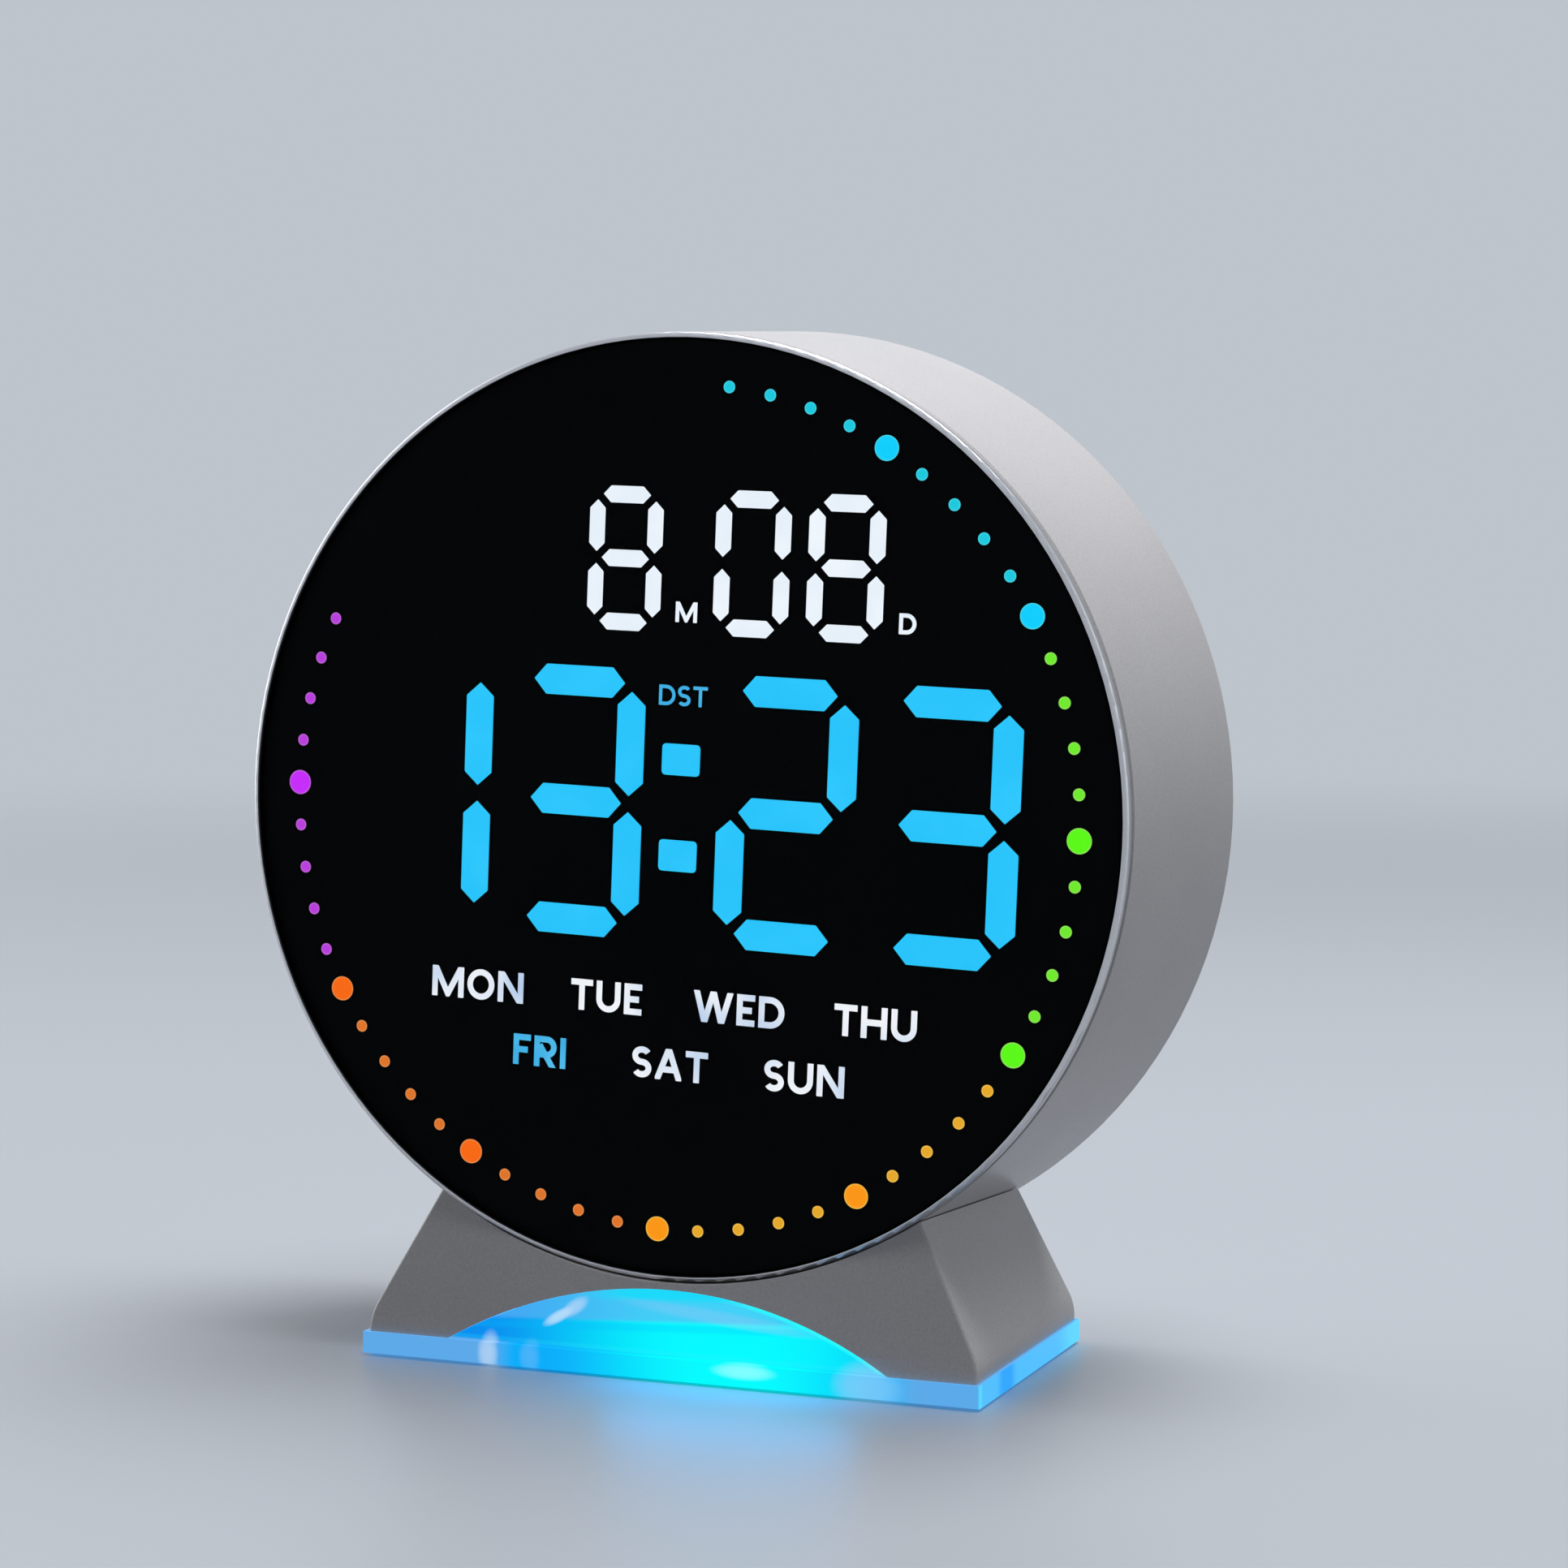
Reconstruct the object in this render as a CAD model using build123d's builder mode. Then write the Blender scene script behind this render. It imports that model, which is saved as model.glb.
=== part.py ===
from build123d import *
from math import cos, hypot, radians, sin, tan
import os

# Desk clock: a round display drum on a silver stand with a glowing clear base.
# Millimetres. +X is the clock's right seen from the front, +Y runs from the front to the back, +Z is up.
# The origin is on the table, under the middle of the whole clock.

os.makedirs("parts", exist_ok=True)

# Driving dimensions of the drum
lens_radius = 76.0
centre_height = 92.6
drum_depth = 52.4
drum_flare = 3.2  # degrees that the side wall opens towards the back
drum_wall = 2.3
edge_break = 0.5
overrun = 1.0  # how far a cutting shape passes the face that it cuts

# Rim ring, front lens and printed film
rim_lip = 0.85
lens_fit = 0.05
lens_recess = 0.3
lens_thickness = 1.2
film_gap = 0.05
film_thickness = 0.3
film_inset = 0.2
ink_depth = 0.15
shelf_thickness = 0.6
groove_depth = 0.4
spigot_wall = 1.8
spigot_length = 5.6
spigot_fit = 0.13
lip_break = 0.25
rim_round = 0.7

# Display stack behind the film
stack_fit = 0.3
reflector_thickness = 7.0
board_thickness = 1.6

# Ring of sixty second dots
dot_ring_inset = 7.3
small_dot_radius = 0.99
large_dot_radius = 2.04
dots_per_turn = 60
dots_per_large = 5
dots_per_colour = 10
dots_lit = 49
dot_colours = ("cyan", "green", "amber", "orange", "purple")

# The display stands a little turned in the drum, and its rows a little to the right of the lens centre
display_turn = 2.56  # degrees clockwise, seen from the front
display_shift = 1.15

# Time digits: two pairs of seven pointed segments each
time_pair_offset = 32.2
time_digit_pitch = 27.4
time_centre = 0.45
time_half_width = 9.45
time_half_height = 19.6
time_segment_width = 4.95
time_bar_length = 16.3
time_post_length = 17.0
time_tip = 2.2
colon_spread = 7.8
colon_width = 6.7
colon_height = 5.1
colon_corner = 0.7

# Date digits and their small letters
date_pair_offset = 19.15
date_digit_pitch = 16.05
date_centre = 40.3
date_half_width = 5.15
date_half_height = 10.3
date_segment_width = 2.75
date_bar_length = 8.4
date_post_length = 8.4
date_tip = 1.35
small_cap_height = 3.3
small_letter_drop = 8.2
day_letter_gap = 2.75
summer_time_height = 18.6

# Weekday words
word_cap_height = 5.1
word_rows = (("MON", "TUE", "WED", "THU"), ("FRI", "SAT", "SUN"))
word_pitch = 23.5
word_row_height = -31.4
word_row_drop = 10.1
word_border = 0.7

# Lettering: stroke thickness and gaps as shares of the cap height, letter widths too
stroke_share = 0.2
thin_stroke_share = 0.17
letter_s_open = 32  # degrees from the level to the free end of an S
letter_gap_share = 0.13
letter_width_share = {"M": 1.15, "O": 0.98, "N": 0.92, "T": 0.77, "U": 0.85, "E": 0.62, "W": 1.36, "D": 0.88,
                      "H": 0.87, "F": 0.62, "R": 0.80, "I": 0.2, "S": 0.68, "A": 0.92}

# Display lamps
dot_lamp_length = 1.6
dot_lamp_width = 0.8
lamp_height = 0.6

# Parts on the back of the main board, some placed by shares of the display stack's radius
controller_size = 10.0
controller_place_shares = (-0.25, 0.28)
driver_width = 7.5
driver_length = 12.0
driver_place_shares = ((0.28, 0.33), (0.28, 0.08))
chip_height = 1.6
chip_standoff = 0.15
lead_width = 0.35
lead_reach = 1.1
lead_pitch = 1.1
crystal_radius = 1.6
crystal_length = 8.0
crystal_place_shares = (-0.47, 0.22)
header_length = 12.0
header_width = 5.0
header_height = 5.6
front_header_place_shares = (0.36, -0.11)
ribbon_step = 7.0
ribbon_width = 9.0
ribbon_thickness = 1.2
ribbon_straight_share = 0.22
lamp_header_length = 6.0
lamp_header_width = 4.0
lamp_header_height = 4.0
lamp_lead_width = 3.6
lamp_lead_thickness = 1.4
lamp_lead_bend = 6.0
lamp_lead_side = 12.0
lamp_header_inset = 10.4

# Screws: radius of shank and head, head height, and the driver's cross as shares of the head
screw_fit = 0.05
small_screw_radius = 1.1
small_head_radius = 2.2
small_head_height = 1.3
large_screw_radius = 1.4
large_head_radius = 2.8
large_head_height = 1.6
board_screw_inset = 12.4
board_screw_length = 6.0
recess_span_share = 0.66
recess_width_share = 0.16
recess_depth_share = 0.6
screw_count = 4
screw_turn = 45.0  # degrees from the top to the first screw of a ring

# Rear of the drum
rear_recess = 2.0
cover_thickness = 2.0
cover_fit = 0.2
cover_ledge_width = 1.5
cover_ledge_height = 2.0
pillar_inset = 8.5
pillar_radius = 3.6
pillar_web = 2.4
cover_screw_length = 10.0
cover_head_height = 1.1
post_radius = 3.0
post_length = 8.4
post_rise = 24.0
post_drop = 42.0
post_inset = 5.0
post_screw_share = 0.66
rear_board_width = 70.0
switch_margin = 10.0
socket_margin = 7.0
rear_board_corner = 3.0

# Push buttons and the switches under them
button_names = ("button_set", "button_up", "button_down", "button_light")
button_pitch = 18.0
button_height = 38.0
button_radius = 4.3
button_fit = 0.2
button_proud = 1.5
button_flange = 1.2
button_flange_thickness = 1.0
button_gap = 0.1
button_stem_radius = 1.5
button_travel = 0.5
button_edge = 0.6
button_dish_radius = 3.0
button_dish_depth = 0.3
switch_size = 6.0
switch_height = 3.5
plunger_radius = 1.75
plunger_fit = 0.15
plunger_length = 2.6
plunger_proud = 1.3

# Buzzer and its sound holes
buzzer_rise = 14.0
buzzer_radius = 6.0
buzzer_height = 7.4
buzzer_hole_radius = 1.0
sound_hole_radius = 0.8
sound_ring_radius = 4.0
sound_hole_count = 6
sound_hole_turn = 30.0  # degrees from the top to the first hole

# Backup cell, holder, well and door
cell_drop = 14.0
cell_radius = 10.0
cell_thickness = 3.2
cell_fit = 0.15
holder_wall = 1.45
holder_floor = 1.0
holder_rim = 0.2
clip_width = 5.0
clip_thickness = 0.4
well_fit = 0.6
well_wall = 1.5
well_gap = 0.3
door_opening_radius = 11.5
door_radius = 13.8
door_thickness = 1.2
door_fit = 0.2
door_ear_radius = 4.0
door_ear_offset = 14.5
door_boss_radius = 3.0
door_boss_length = 5.5
door_screw_length = 5.0
door_head_radius = 2.0
door_head_height = 0.7
door_grip_width = 8.0
door_grip_height = 1.0
door_grip_depth = 0.4
door_grip_pitch = 2.4
door_grip_count = 3

# Power socket of the small reversible kind
socket_drop = 45.0
socket_width = 8.94
socket_height = 3.26
socket_shell = 0.3
socket_depth = 6.5
socket_setback = 0.5
socket_tongue_width = 6.7
socket_tongue_thickness = 0.7
socket_tongue_length = 5.0
socket_clearance = 0.3

# Stand
stand_width = 107.6
stand_depth = 51.3
stand_foot_height = 2.8
stand_side_angle = 28.1  # degrees from upright
stand_front_lean = 12.5  # degrees from upright
stand_wall = 2.2
stand_edge_radius = 0.6
stand_knee_round = 8.0
saddle_gap = 0.15
stand_screw_shares = (0.46, 0.81)  # of the stand's depth
stand_screw_length = 10.0
stand_boss_radius = 3.5
stand_boss_gap = 2.5
screw_pad_radius = 4.5
screw_pad_height = 1.6
lead_hole_radius = 2.7

# Clear light guide under and inside the stand
guide_thickness = 3.6
guide_margin = 0.7
guide_overhang = 4.4  # the base plate's front edge stands ahead of the rim
arch_half_span = 38.9
arch_rise = 10.55
arch_fit = 0.1
hump_recess = 0.3
hump_back = 6.0
guide_screw_side_inset = 8.8
guide_screw_inset = 9.0
guide_screw_length = 8.5
guide_boss_radius = 3.0
guide_boss_height = 14.0

# Feet
foot_radius = 4.5
foot_thickness = 1.0
foot_proud = 0.5
foot_fit = 0.1

# Lamp strip behind the light guide's hump
strip_length = 64.0
strip_height = 7.4
strip_thickness = 1.0
strip_lamp_size = 3.5
strip_lamp_height = 0.9
strip_lamp_gap = 0.3
strip_lamp_count = 8
strip_lamp_pitch = 7.0

# Places that follow from the sizes above, as depths behind the rim's front plane
rim_radius = lens_radius + lens_fit + rim_lip
rear_radius = rim_radius + drum_depth * tan(radians(drum_flare))
overall_depth = drum_depth + guide_overhang
rim_y = guide_overhang - overall_depth / 2
lens_back = lens_recess + lens_thickness
film_front = lens_back + film_gap
shelf_front = film_front + film_thickness
shelf_back = shelf_front + shelf_thickness
spigot_outer = rim_radius - drum_wall - spigot_fit
spigot_inner = spigot_outer - spigot_wall
stack_radius = spigot_inner - stack_fit
reflector_back = shelf_front + reflector_thickness
main_board_back = reflector_back + board_thickness
cover_outer = drum_depth - rear_recess
cover_inner = cover_outer - cover_thickness
rear_board_rear = cover_inner - post_length
rear_board_front = rear_board_rear - board_thickness
guide_front = -guide_overhang
stand_front = guide_front + guide_margin
stand_rear = stand_front + stand_depth
guide_rear = stand_rear + guide_margin
guide_width = stand_width + 2 * guide_margin
guide_screw_side = stand_width / 2 - guide_screw_side_inset
stand_screw_depths = [stand_front + share * stand_depth for share in stand_screw_shares]
lead_hole_depth = sum(stand_screw_depths) / len(stand_screw_depths)
dot_ring_radius = lens_radius - dot_ring_inset
board_screw_ring = stack_radius - board_screw_inset
lamp_lead_top = lamp_header_inset - stack_radius
rear_board_top = button_height + switch_margin
rear_board_foot = -socket_drop - socket_margin
buzzer_place = (0, buzzer_rise)
cell_place = (0, -cell_drop)
door_ear_place = (0, door_ear_offset - cell_drop)
socket_place = (0, -socket_drop)
button_places = {name: (order - (len(button_names) - 1) / 2) * button_pitch
                 for order, name in enumerate(button_names)}
post_places = [(side * (rear_board_width / 2 - post_inset), height)
               for height in (post_rise, -post_drop) for side in (-1, 1)]

# Heights measured from the lens centre, so they are negative below it
plate_bottom = foot_proud - centre_height
plate_top = plate_bottom + guide_thickness
knee_height = plate_top + stand_foot_height
arch_radius = (arch_half_span**2 + arch_rise**2) / (2 * arch_rise)
arch_centre = plate_top + arch_rise - arch_radius
drum_axis = Axis((0, 0, centre_height), (0, 1, 0))


def face_plane(depth):
    """Plane parallel to the face and seen from the front, at a depth behind the rim."""
    return Plane(origin=(0, rim_y + depth, centre_height), x_dir=(1, 0, 0), z_dir=(0, -1, 0))


def display_plane(depth):
    """Face plane turned with the display, for its marks, light wells and lamps."""
    turn = radians(display_turn)
    return Plane(origin=(0, rim_y + depth, centre_height), x_dir=(cos(turn), 0, -sin(turn)),
                 z_dir=(0, -1, 0))


def level_plane(height):
    """Level plane at a height above the lens centre, with y measured as depth behind the rim."""
    return Plane(origin=(0, rim_y, centre_height + height), x_dir=(1, 0, 0), z_dir=(0, 0, 1))


def side_plane(side):
    """Upright plane seen from the clock's right, x is depth behind the rim and y is height."""
    return Plane(origin=(side, rim_y, centre_height), x_dir=(0, 1, 0), z_dir=(1, 0, 0))


def drum_radius(depth):
    """Outer radius of the drum's side wall at a depth behind the rim."""
    return rim_radius + max(depth, 0) * tan(radians(drum_flare))


def inner_radius(depth):
    return drum_radius(depth) - drum_wall


def ring_places(radius, count, start=0.0):
    """Points on a circle about the lens centre, clockwise from the top, in degrees from start."""
    turns = [radians(start + 360 * step / count) for step in range(count)]
    return [(radius * sin(turn), radius * cos(turn)) for turn in turns]


def on_board(shares):
    """Place on the main board, from its shares of the stack's radius."""
    return tuple(share * stack_radius for share in shares)


def row_places(count, pitch):
    """Places of an even row about the display's middle."""
    return [display_shift + (step - (count - 1) / 2) * pitch for step in range(count)]


def pair_places(offset, pitch):
    """Places of two pairs of digits, each pair an offset from the display's middle."""
    return [display_shift + side * offset + way * pitch / 2 for side in (-1, 1) for way in (-1, 1)]


pillar_ring = inner_radius(cover_inner) - pillar_inset
diagonal_places = ring_places(pillar_ring, screw_count, screw_turn)


# Solid envelope of the drum, used to trim what joins its wall
with BuildPart() as drum_envelope:
    with BuildSketch(level_plane(0)):
        with BuildLine():
            Polyline((0, shelf_back), (drum_radius(shelf_back), shelf_back), (rear_radius, drum_depth),
                     (0, drum_depth), close=True)
        make_face()
    revolve(axis=drum_axis)

# Drum housing: side wall, ledge for the rear cover, screw pillars and pads for the stand's screws
with BuildPart() as drum_housing:
    with BuildSketch(face_plane(cover_inner)):
        with Locations(*diagonal_places):
            Circle(pillar_radius)
        with PolarLocations(pillar_ring + drum_wall + pillar_radius, screw_count, screw_turn):
            Rectangle(2 * (drum_wall + pillar_radius), pillar_web)
    extrude(amount=cover_inner - main_board_back)
    with BuildSketch(level_plane(-inner_radius(0) + screw_pad_height)):
        with Locations(*[(0, depth) for depth in stand_screw_depths]):
            Circle(screw_pad_radius)
    extrude(amount=-2 * drum_wall - screw_pad_height)
    add(drum_envelope.part, mode=Mode.INTERSECT)
    with BuildSketch(level_plane(0)):
        with BuildLine():
            ledge_top = cover_inner - cover_ledge_height
            ledge_foot = ledge_top - cover_ledge_width
            Polyline(
                (inner_radius(shelf_back), shelf_back),
                (drum_radius(shelf_back) - edge_break, shelf_back),
                (drum_radius(shelf_back + edge_break), shelf_back + edge_break),
                (drum_radius(drum_depth - edge_break), drum_depth - edge_break),
                (rear_radius - edge_break, drum_depth),
                (inner_radius(drum_depth), drum_depth),
                (inner_radius(cover_inner), cover_inner),
                (inner_radius(cover_inner) - cover_ledge_width, cover_inner),
                (inner_radius(cover_inner) - cover_ledge_width, ledge_top),
                (inner_radius(ledge_foot), ledge_foot),
                close=True,
            )
        make_face()
    revolve(axis=drum_axis)
    with BuildSketch(face_plane(cover_inner)):
        with Locations(*diagonal_places):
            Circle(large_screw_radius + screw_fit)
    extrude(amount=cover_screw_length, mode=Mode.SUBTRACT)
    with BuildSketch(level_plane(-inner_radius(0) + screw_pad_height)):
        with Locations(*[(0, depth) for depth in stand_screw_depths]):
            Circle(large_screw_radius + screw_fit)
        with Locations((lamp_lead_side, lead_hole_depth)):
            Circle(lead_hole_radius)
    extrude(amount=-2 * drum_wall - screw_pad_height - (rear_radius - rim_radius), mode=Mode.SUBTRACT)
drum_housing.part.label = "drum_housing"
export_step(drum_housing.part, "parts/drum_housing.step")

# Rim ring: rounded at its front lip, it holds the lens and plugs into the drum behind a fine groove
with BuildPart() as bezel_ring:
    with BuildSketch(level_plane(0)) as rim_section:
        with BuildLine():
            Polyline(
                (lens_radius + lens_fit, 0),
                (rim_radius, 0),
                (rim_radius, shelf_front),
                (rim_radius - groove_depth, shelf_front),
                (rim_radius - groove_depth, shelf_back),
                (spigot_outer, shelf_back),
                (spigot_outer, shelf_back + spigot_length),
                (spigot_inner, shelf_back + spigot_length),
                (spigot_inner, shelf_front),
                (lens_radius + lens_fit, shelf_front),
                close=True,
            )
        make_face()
        fillet(rim_section.vertices().sort_by_distance((rim_radius, 0, 0))[0], radius=rim_round)
    revolve(axis=drum_axis)
bezel_ring.part.label = "bezel_ring"
export_step(bezel_ring.part, "parts/bezel_ring.step")

# Front lens: one flat clear disc with a fine chamfer round its front edge
with BuildPart() as front_lens:
    with BuildSketch(face_plane(lens_back)):
        Circle(lens_radius)
    extrude(amount=lens_thickness)
    chamfer(front_lens.faces().sort_by(Axis.Y)[0].edges(), length=lip_break)
front_lens.part.label = "front_lens"
export_step(front_lens.part, "parts/front_lens.step")


# Printed windows: seven-segment digits, dots and letters, all drawn on the film's front plane
segments_on = {"0": "abcdef", "1": "bc", "2": "abdeg", "3": "abcdg", "8": "abcdefg", " ": ""}

time_digit_places = pair_places(time_pair_offset, time_digit_pitch)
date_digit_places = pair_places(date_pair_offset, date_digit_pitch)


def segment_outline(length, width, tip):
    """Outline of one lying segment with pointed ends."""
    half = length / 2
    rise = width / 2
    shoulder = half - tip
    return [(-half, 0), (-shoulder, rise), (shoulder, rise), (half, 0), (shoulder, -rise), (-shoulder, -rise)]


def segment_places(half_width, half_height):
    """Place and turn of each segment in a digit, by its usual letter."""
    middle = half_height / 2
    return {"a": (0, half_height, 0), "b": (half_width, middle, 90), "c": (half_width, -middle, 90),
            "d": (0, -half_height, 0), "e": (-half_width, -middle, 90), "f": (-half_width, middle, 90),
            "g": (0, 0, 0)}


def draw_digits(characters, centres, height, half_width, half_height, width, bar, post, tip, lit):
    """Draw the lit, or the unlit, segments of a row of digits and return their middles."""
    middles = []
    for character, centre in zip(characters, centres):
        for name, (across, up, turn) in segment_places(half_width, half_height).items():
            if (name in segments_on[character]) is lit:
                place = (centre + across, height + up)
                outline = segment_outline(post if turn else bar, width, tip)
                with Locations(place):
                    Polygon(*outline, rotation=turn)
                middles.append(place)
    return middles


def draw_time(lit):
    return draw_digits("1323", time_digit_places, time_centre, time_half_width, time_half_height,
                       time_segment_width, time_bar_length, time_post_length, time_tip, lit)


def draw_date(lit):
    return draw_digits(" 808", date_digit_places, date_centre, date_half_width, date_half_height,
                       date_segment_width, date_bar_length, date_post_length, date_tip, lit)


def letter_lines(letter, width, cap, stroke):
    """Centre lines of a letter's strokes, which may run past its cell and are trimmed to it."""
    half = stroke / 2
    left, right, top, foot = half, width - half, cap - half, half
    past = stroke
    bowl = (cap - stroke) / 2
    if letter in "MNHUTEFIRD":
        if letter == "T":
            Line((width / 2, 0), (width / 2, cap))
        elif letter == "U":
            turn = (right - left) / 2
            Line((left, foot + turn), (left, cap))
            CenterArc((width / 2, foot + turn), turn, 180, 180)
            Line((right, foot + turn), (right, cap))
        else:
            Line((left, 0), (left, cap))
    if letter in "MNH":
        Line((right, 0), (right, cap))
    if letter == "M":
        Line((left, cap), (width / 2, foot))
        Line((right, cap), (width / 2, foot))
    if letter == "N":
        Line((left, cap), (right, 0))
    if letter == "H":
        Line((left, cap / 2), (right, cap / 2))
    if letter in "TEF":
        Line((0, top), (width, top))
    if letter in "EF":
        Line((0, cap / 2), (right, cap / 2))
    if letter == "E":
        Line((0, foot), (width, foot))
    if letter == "W":
        step = (right - left) / 4
        for side, way in ((left, 1), (left + 2 * step, 1), (left + 2 * step, -1), (right, -1)):
            Line((side - way * step * past / cap, cap + past), (side + way * step, 0))
    if letter == "A":
        Line((width / 2, cap), (left - half, -past))
        Line((width / 2, cap), (right + half, -past))
        Line((left + half, cap / 3), (right - half, cap / 3))
    if letter == "D":
        Line((0, foot), (right - bowl, foot))
        CenterArc((right - bowl, cap / 2), bowl, -90, 180)
        Line((0, top), (right - bowl, top))
    if letter == "R":
        knee = cap / 2 - half
        loop = (top - knee) / 2
        Line((0, top), (right - loop, top))
        CenterArc((right - loop, top - loop), loop, -90, 180)
        Line((0, knee), (right - loop, knee))
        Line((width / 2, knee), (right + half, -past))
    if letter == "S":
        bend = (top - foot) / 4
        across = width / 2 - half
        around = 270 - letter_s_open
        EllipticalCenterArc((width / 2, top - bend), across, bend, letter_s_open, arc_size=around)
        EllipticalCenterArc((width / 2, foot + bend), across, bend, letter_s_open - 180, arc_size=around)


def letter_sketch(letter, cap, stroke):
    """One letter with its foot at the origin, drawn with an even stroke and trimmed to its cell."""
    width = letter_width_share[letter] * cap
    if letter == "O":
        with BuildSketch(Plane.XY) as cell:
            with Locations((width / 2, cap / 2)):
                Ellipse(width / 2, cap / 2)
                Ellipse(width / 2 - stroke, cap / 2 - stroke, mode=Mode.SUBTRACT)
        return cell.sketch
    with BuildSketch(Plane.XY) as cell:
        with BuildLine():
            letter_lines(letter, width, cap, stroke)
        trace(line_width=stroke)
        Rectangle(width, cap, align=Align.MIN, mode=Mode.INTERSECT)
    return cell.sketch


def word_width(word, cap):
    return cap * (sum(letter_width_share[letter] for letter in word) + letter_gap_share * (len(word) - 1))


def lettering(words, cap, share):
    """Sketch of several words, each centred on its place, on the film's front plane."""
    cells = {letter: letter_sketch(letter, cap, share * cap) for letter in set("".join(words))}
    with BuildSketch(display_plane(film_front)) as page:
        for word, (across, up) in words.items():
            start = across - word_width(word, cap) / 2
            for letter in word:
                with Locations((start, up - cap / 2)):
                    add(cells[letter])
                start += (letter_width_share[letter] + letter_gap_share) * cap
    return page.sketch


with BuildSketch(display_plane(film_front)) as time_lit:
    time_lit_middles = draw_time(True)
with BuildSketch(display_plane(film_front)) as time_unlit:
    time_unlit_middles = draw_time(False)
with BuildSketch(display_plane(film_front)) as date_lit:
    date_lit_middles = draw_date(True)
with BuildSketch(display_plane(film_front)) as date_unlit:
    date_unlit_middles = draw_date(False)

colon_middles = [(display_shift, time_centre + way * colon_spread) for way in (1, -1)]
with BuildSketch(display_plane(film_front)) as colon:
    with Locations(*colon_middles):
        RectangleRounded(colon_width, colon_height, colon_corner)

dot_middles = ring_places(dot_ring_radius, dots_per_turn)
dot_groups = {"second_dots_unlit": [0, *range(dots_lit + 1, dots_per_turn)]}
for order, colour in enumerate(dot_colours):
    before = order * dots_per_colour
    dot_groups[f"second_dots_{colour}"] = range(before + 1, min(before + dots_per_colour, dots_lit) + 1)
dot_sketches = {}
for name, seconds in dot_groups.items():
    with BuildSketch(display_plane(film_front)) as dots:
        for second in seconds:
            with Locations(dot_middles[second]):
                Circle(small_dot_radius if second % dots_per_large else large_dot_radius)
    dot_sketches[name] = dots.sketch

word_places = {}
for order, row in enumerate(word_rows):
    for word, across in zip(row, row_places(len(row), word_pitch)):
        word_places[word] = (across, word_row_height - order * word_row_drop)

lit_day = "FRI"
quiet_days = {word: place for word, place in word_places.items() if word != lit_day}
day_letter_side = (date_digit_places[-1] + date_half_width + date_segment_width / 2 + day_letter_gap
                   + word_width("D", small_cap_height) / 2)
month_letter_place = (display_shift, date_centre - small_letter_drop)
day_letter_place = (day_letter_side, date_centre - small_letter_drop)
summer_time_place = (display_shift, summer_time_height)
word_sketches = {
    "weekday_letters": lettering(quiet_days, word_cap_height, stroke_share),
    "friday_letters": lettering({lit_day: word_places[lit_day]}, word_cap_height, stroke_share),
    "month_day_letters": lettering({"M": month_letter_place, "D": day_letter_place}, small_cap_height,
                                   stroke_share),
    "summer_time_letters": lettering({"DST": summer_time_place}, small_cap_height, thin_stroke_share),
}

segment_sketches = {"time_segments_lit": time_lit.sketch, "time_segments_unlit": time_unlit.sketch,
                    "date_segments_lit": date_lit.sketch, "date_segments_unlit": date_unlit.sketch,
                    "colon_windows": colon.sketch}
window_sketches = {**segment_sketches, **dot_sketches, **word_sketches}

# Windows of tinted print, each flush in a shallow pocket of the film
for name, sketch in window_sketches.items():
    with BuildPart() as windows:
        extrude(to_extrude=sketch, amount=-ink_depth)
    windows.part.label = name
    export_step(windows.part, f"parts/{name}.step")

# Black film behind the lens, with a pocket for every window
with BuildPart() as mask_film:
    with BuildSketch(face_plane(shelf_front)):
        Circle(lens_radius - film_inset)
    extrude(amount=film_thickness)
    for sketch in window_sketches.values():
        extrude(to_extrude=sketch, amount=-ink_depth, mode=Mode.SUBTRACT)
mask_film.part.label = "mask_film"
export_step(mask_film.part, "parts/mask_film.step")

# Reflector housing: a light well behind every segment, dot and word
board_screw_places = ring_places(board_screw_ring, screw_count, screw_turn)
well_boxes = [(place, word_width(word, word_cap_height), word_cap_height)
              for word, place in word_places.items()]
well_boxes += [(month_letter_place, word_width("M", small_cap_height), small_cap_height),
               (day_letter_place, word_width("D", small_cap_height), small_cap_height),
               (summer_time_place, word_width("DST", small_cap_height), small_cap_height)]
with BuildPart() as reflector_housing:
    with BuildSketch(face_plane(reflector_back)):
        Circle(stack_radius)
    extrude(amount=reflector_thickness)
    for sketch in [*segment_sketches.values(), *dot_sketches.values()]:
        extrude(to_extrude=sketch, amount=-(reflector_back + overrun), mode=Mode.SUBTRACT)
    with BuildSketch(display_plane(reflector_back)):
        for place, width, height in well_boxes:
            with Locations(place):
                Rectangle(width + 2 * word_border, height + 2 * word_border)
    extrude(amount=reflector_thickness, mode=Mode.SUBTRACT)
    with BuildSketch(face_plane(reflector_back)):
        with Locations(*board_screw_places):
            Circle(small_screw_radius + screw_fit)
    extrude(amount=board_screw_length - board_thickness, mode=Mode.SUBTRACT)
reflector_housing.part.label = "reflector_housing"
export_step(reflector_housing.part, "parts/reflector_housing.step")

# Main board: a round board that closes the back of the reflector
with BuildPart() as main_board:
    with BuildSketch(face_plane(main_board_back)):
        Circle(stack_radius)
        with Locations(*board_screw_places):
            Circle(small_screw_radius + screw_fit, mode=Mode.SUBTRACT)
    extrude(amount=board_thickness)
main_board.part.label = "main_board"
export_step(main_board.part, "parts/main_board.step")

# Display lamps: one in each light well
lamp_places = [*time_lit_middles, *time_unlit_middles, *date_lit_middles, *date_unlit_middles, *colon_middles,
               *dot_middles, *[place for place, width, height in well_boxes]]
with BuildPart() as display_lamps:
    with BuildSketch(display_plane(reflector_back)):
        with Locations(*lamp_places):
            Rectangle(dot_lamp_length, dot_lamp_width)
    extrude(amount=lamp_height)
display_lamps.part.label = "display_lamps"
export_step(display_lamps.part, "parts/display_lamps.step")


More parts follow.
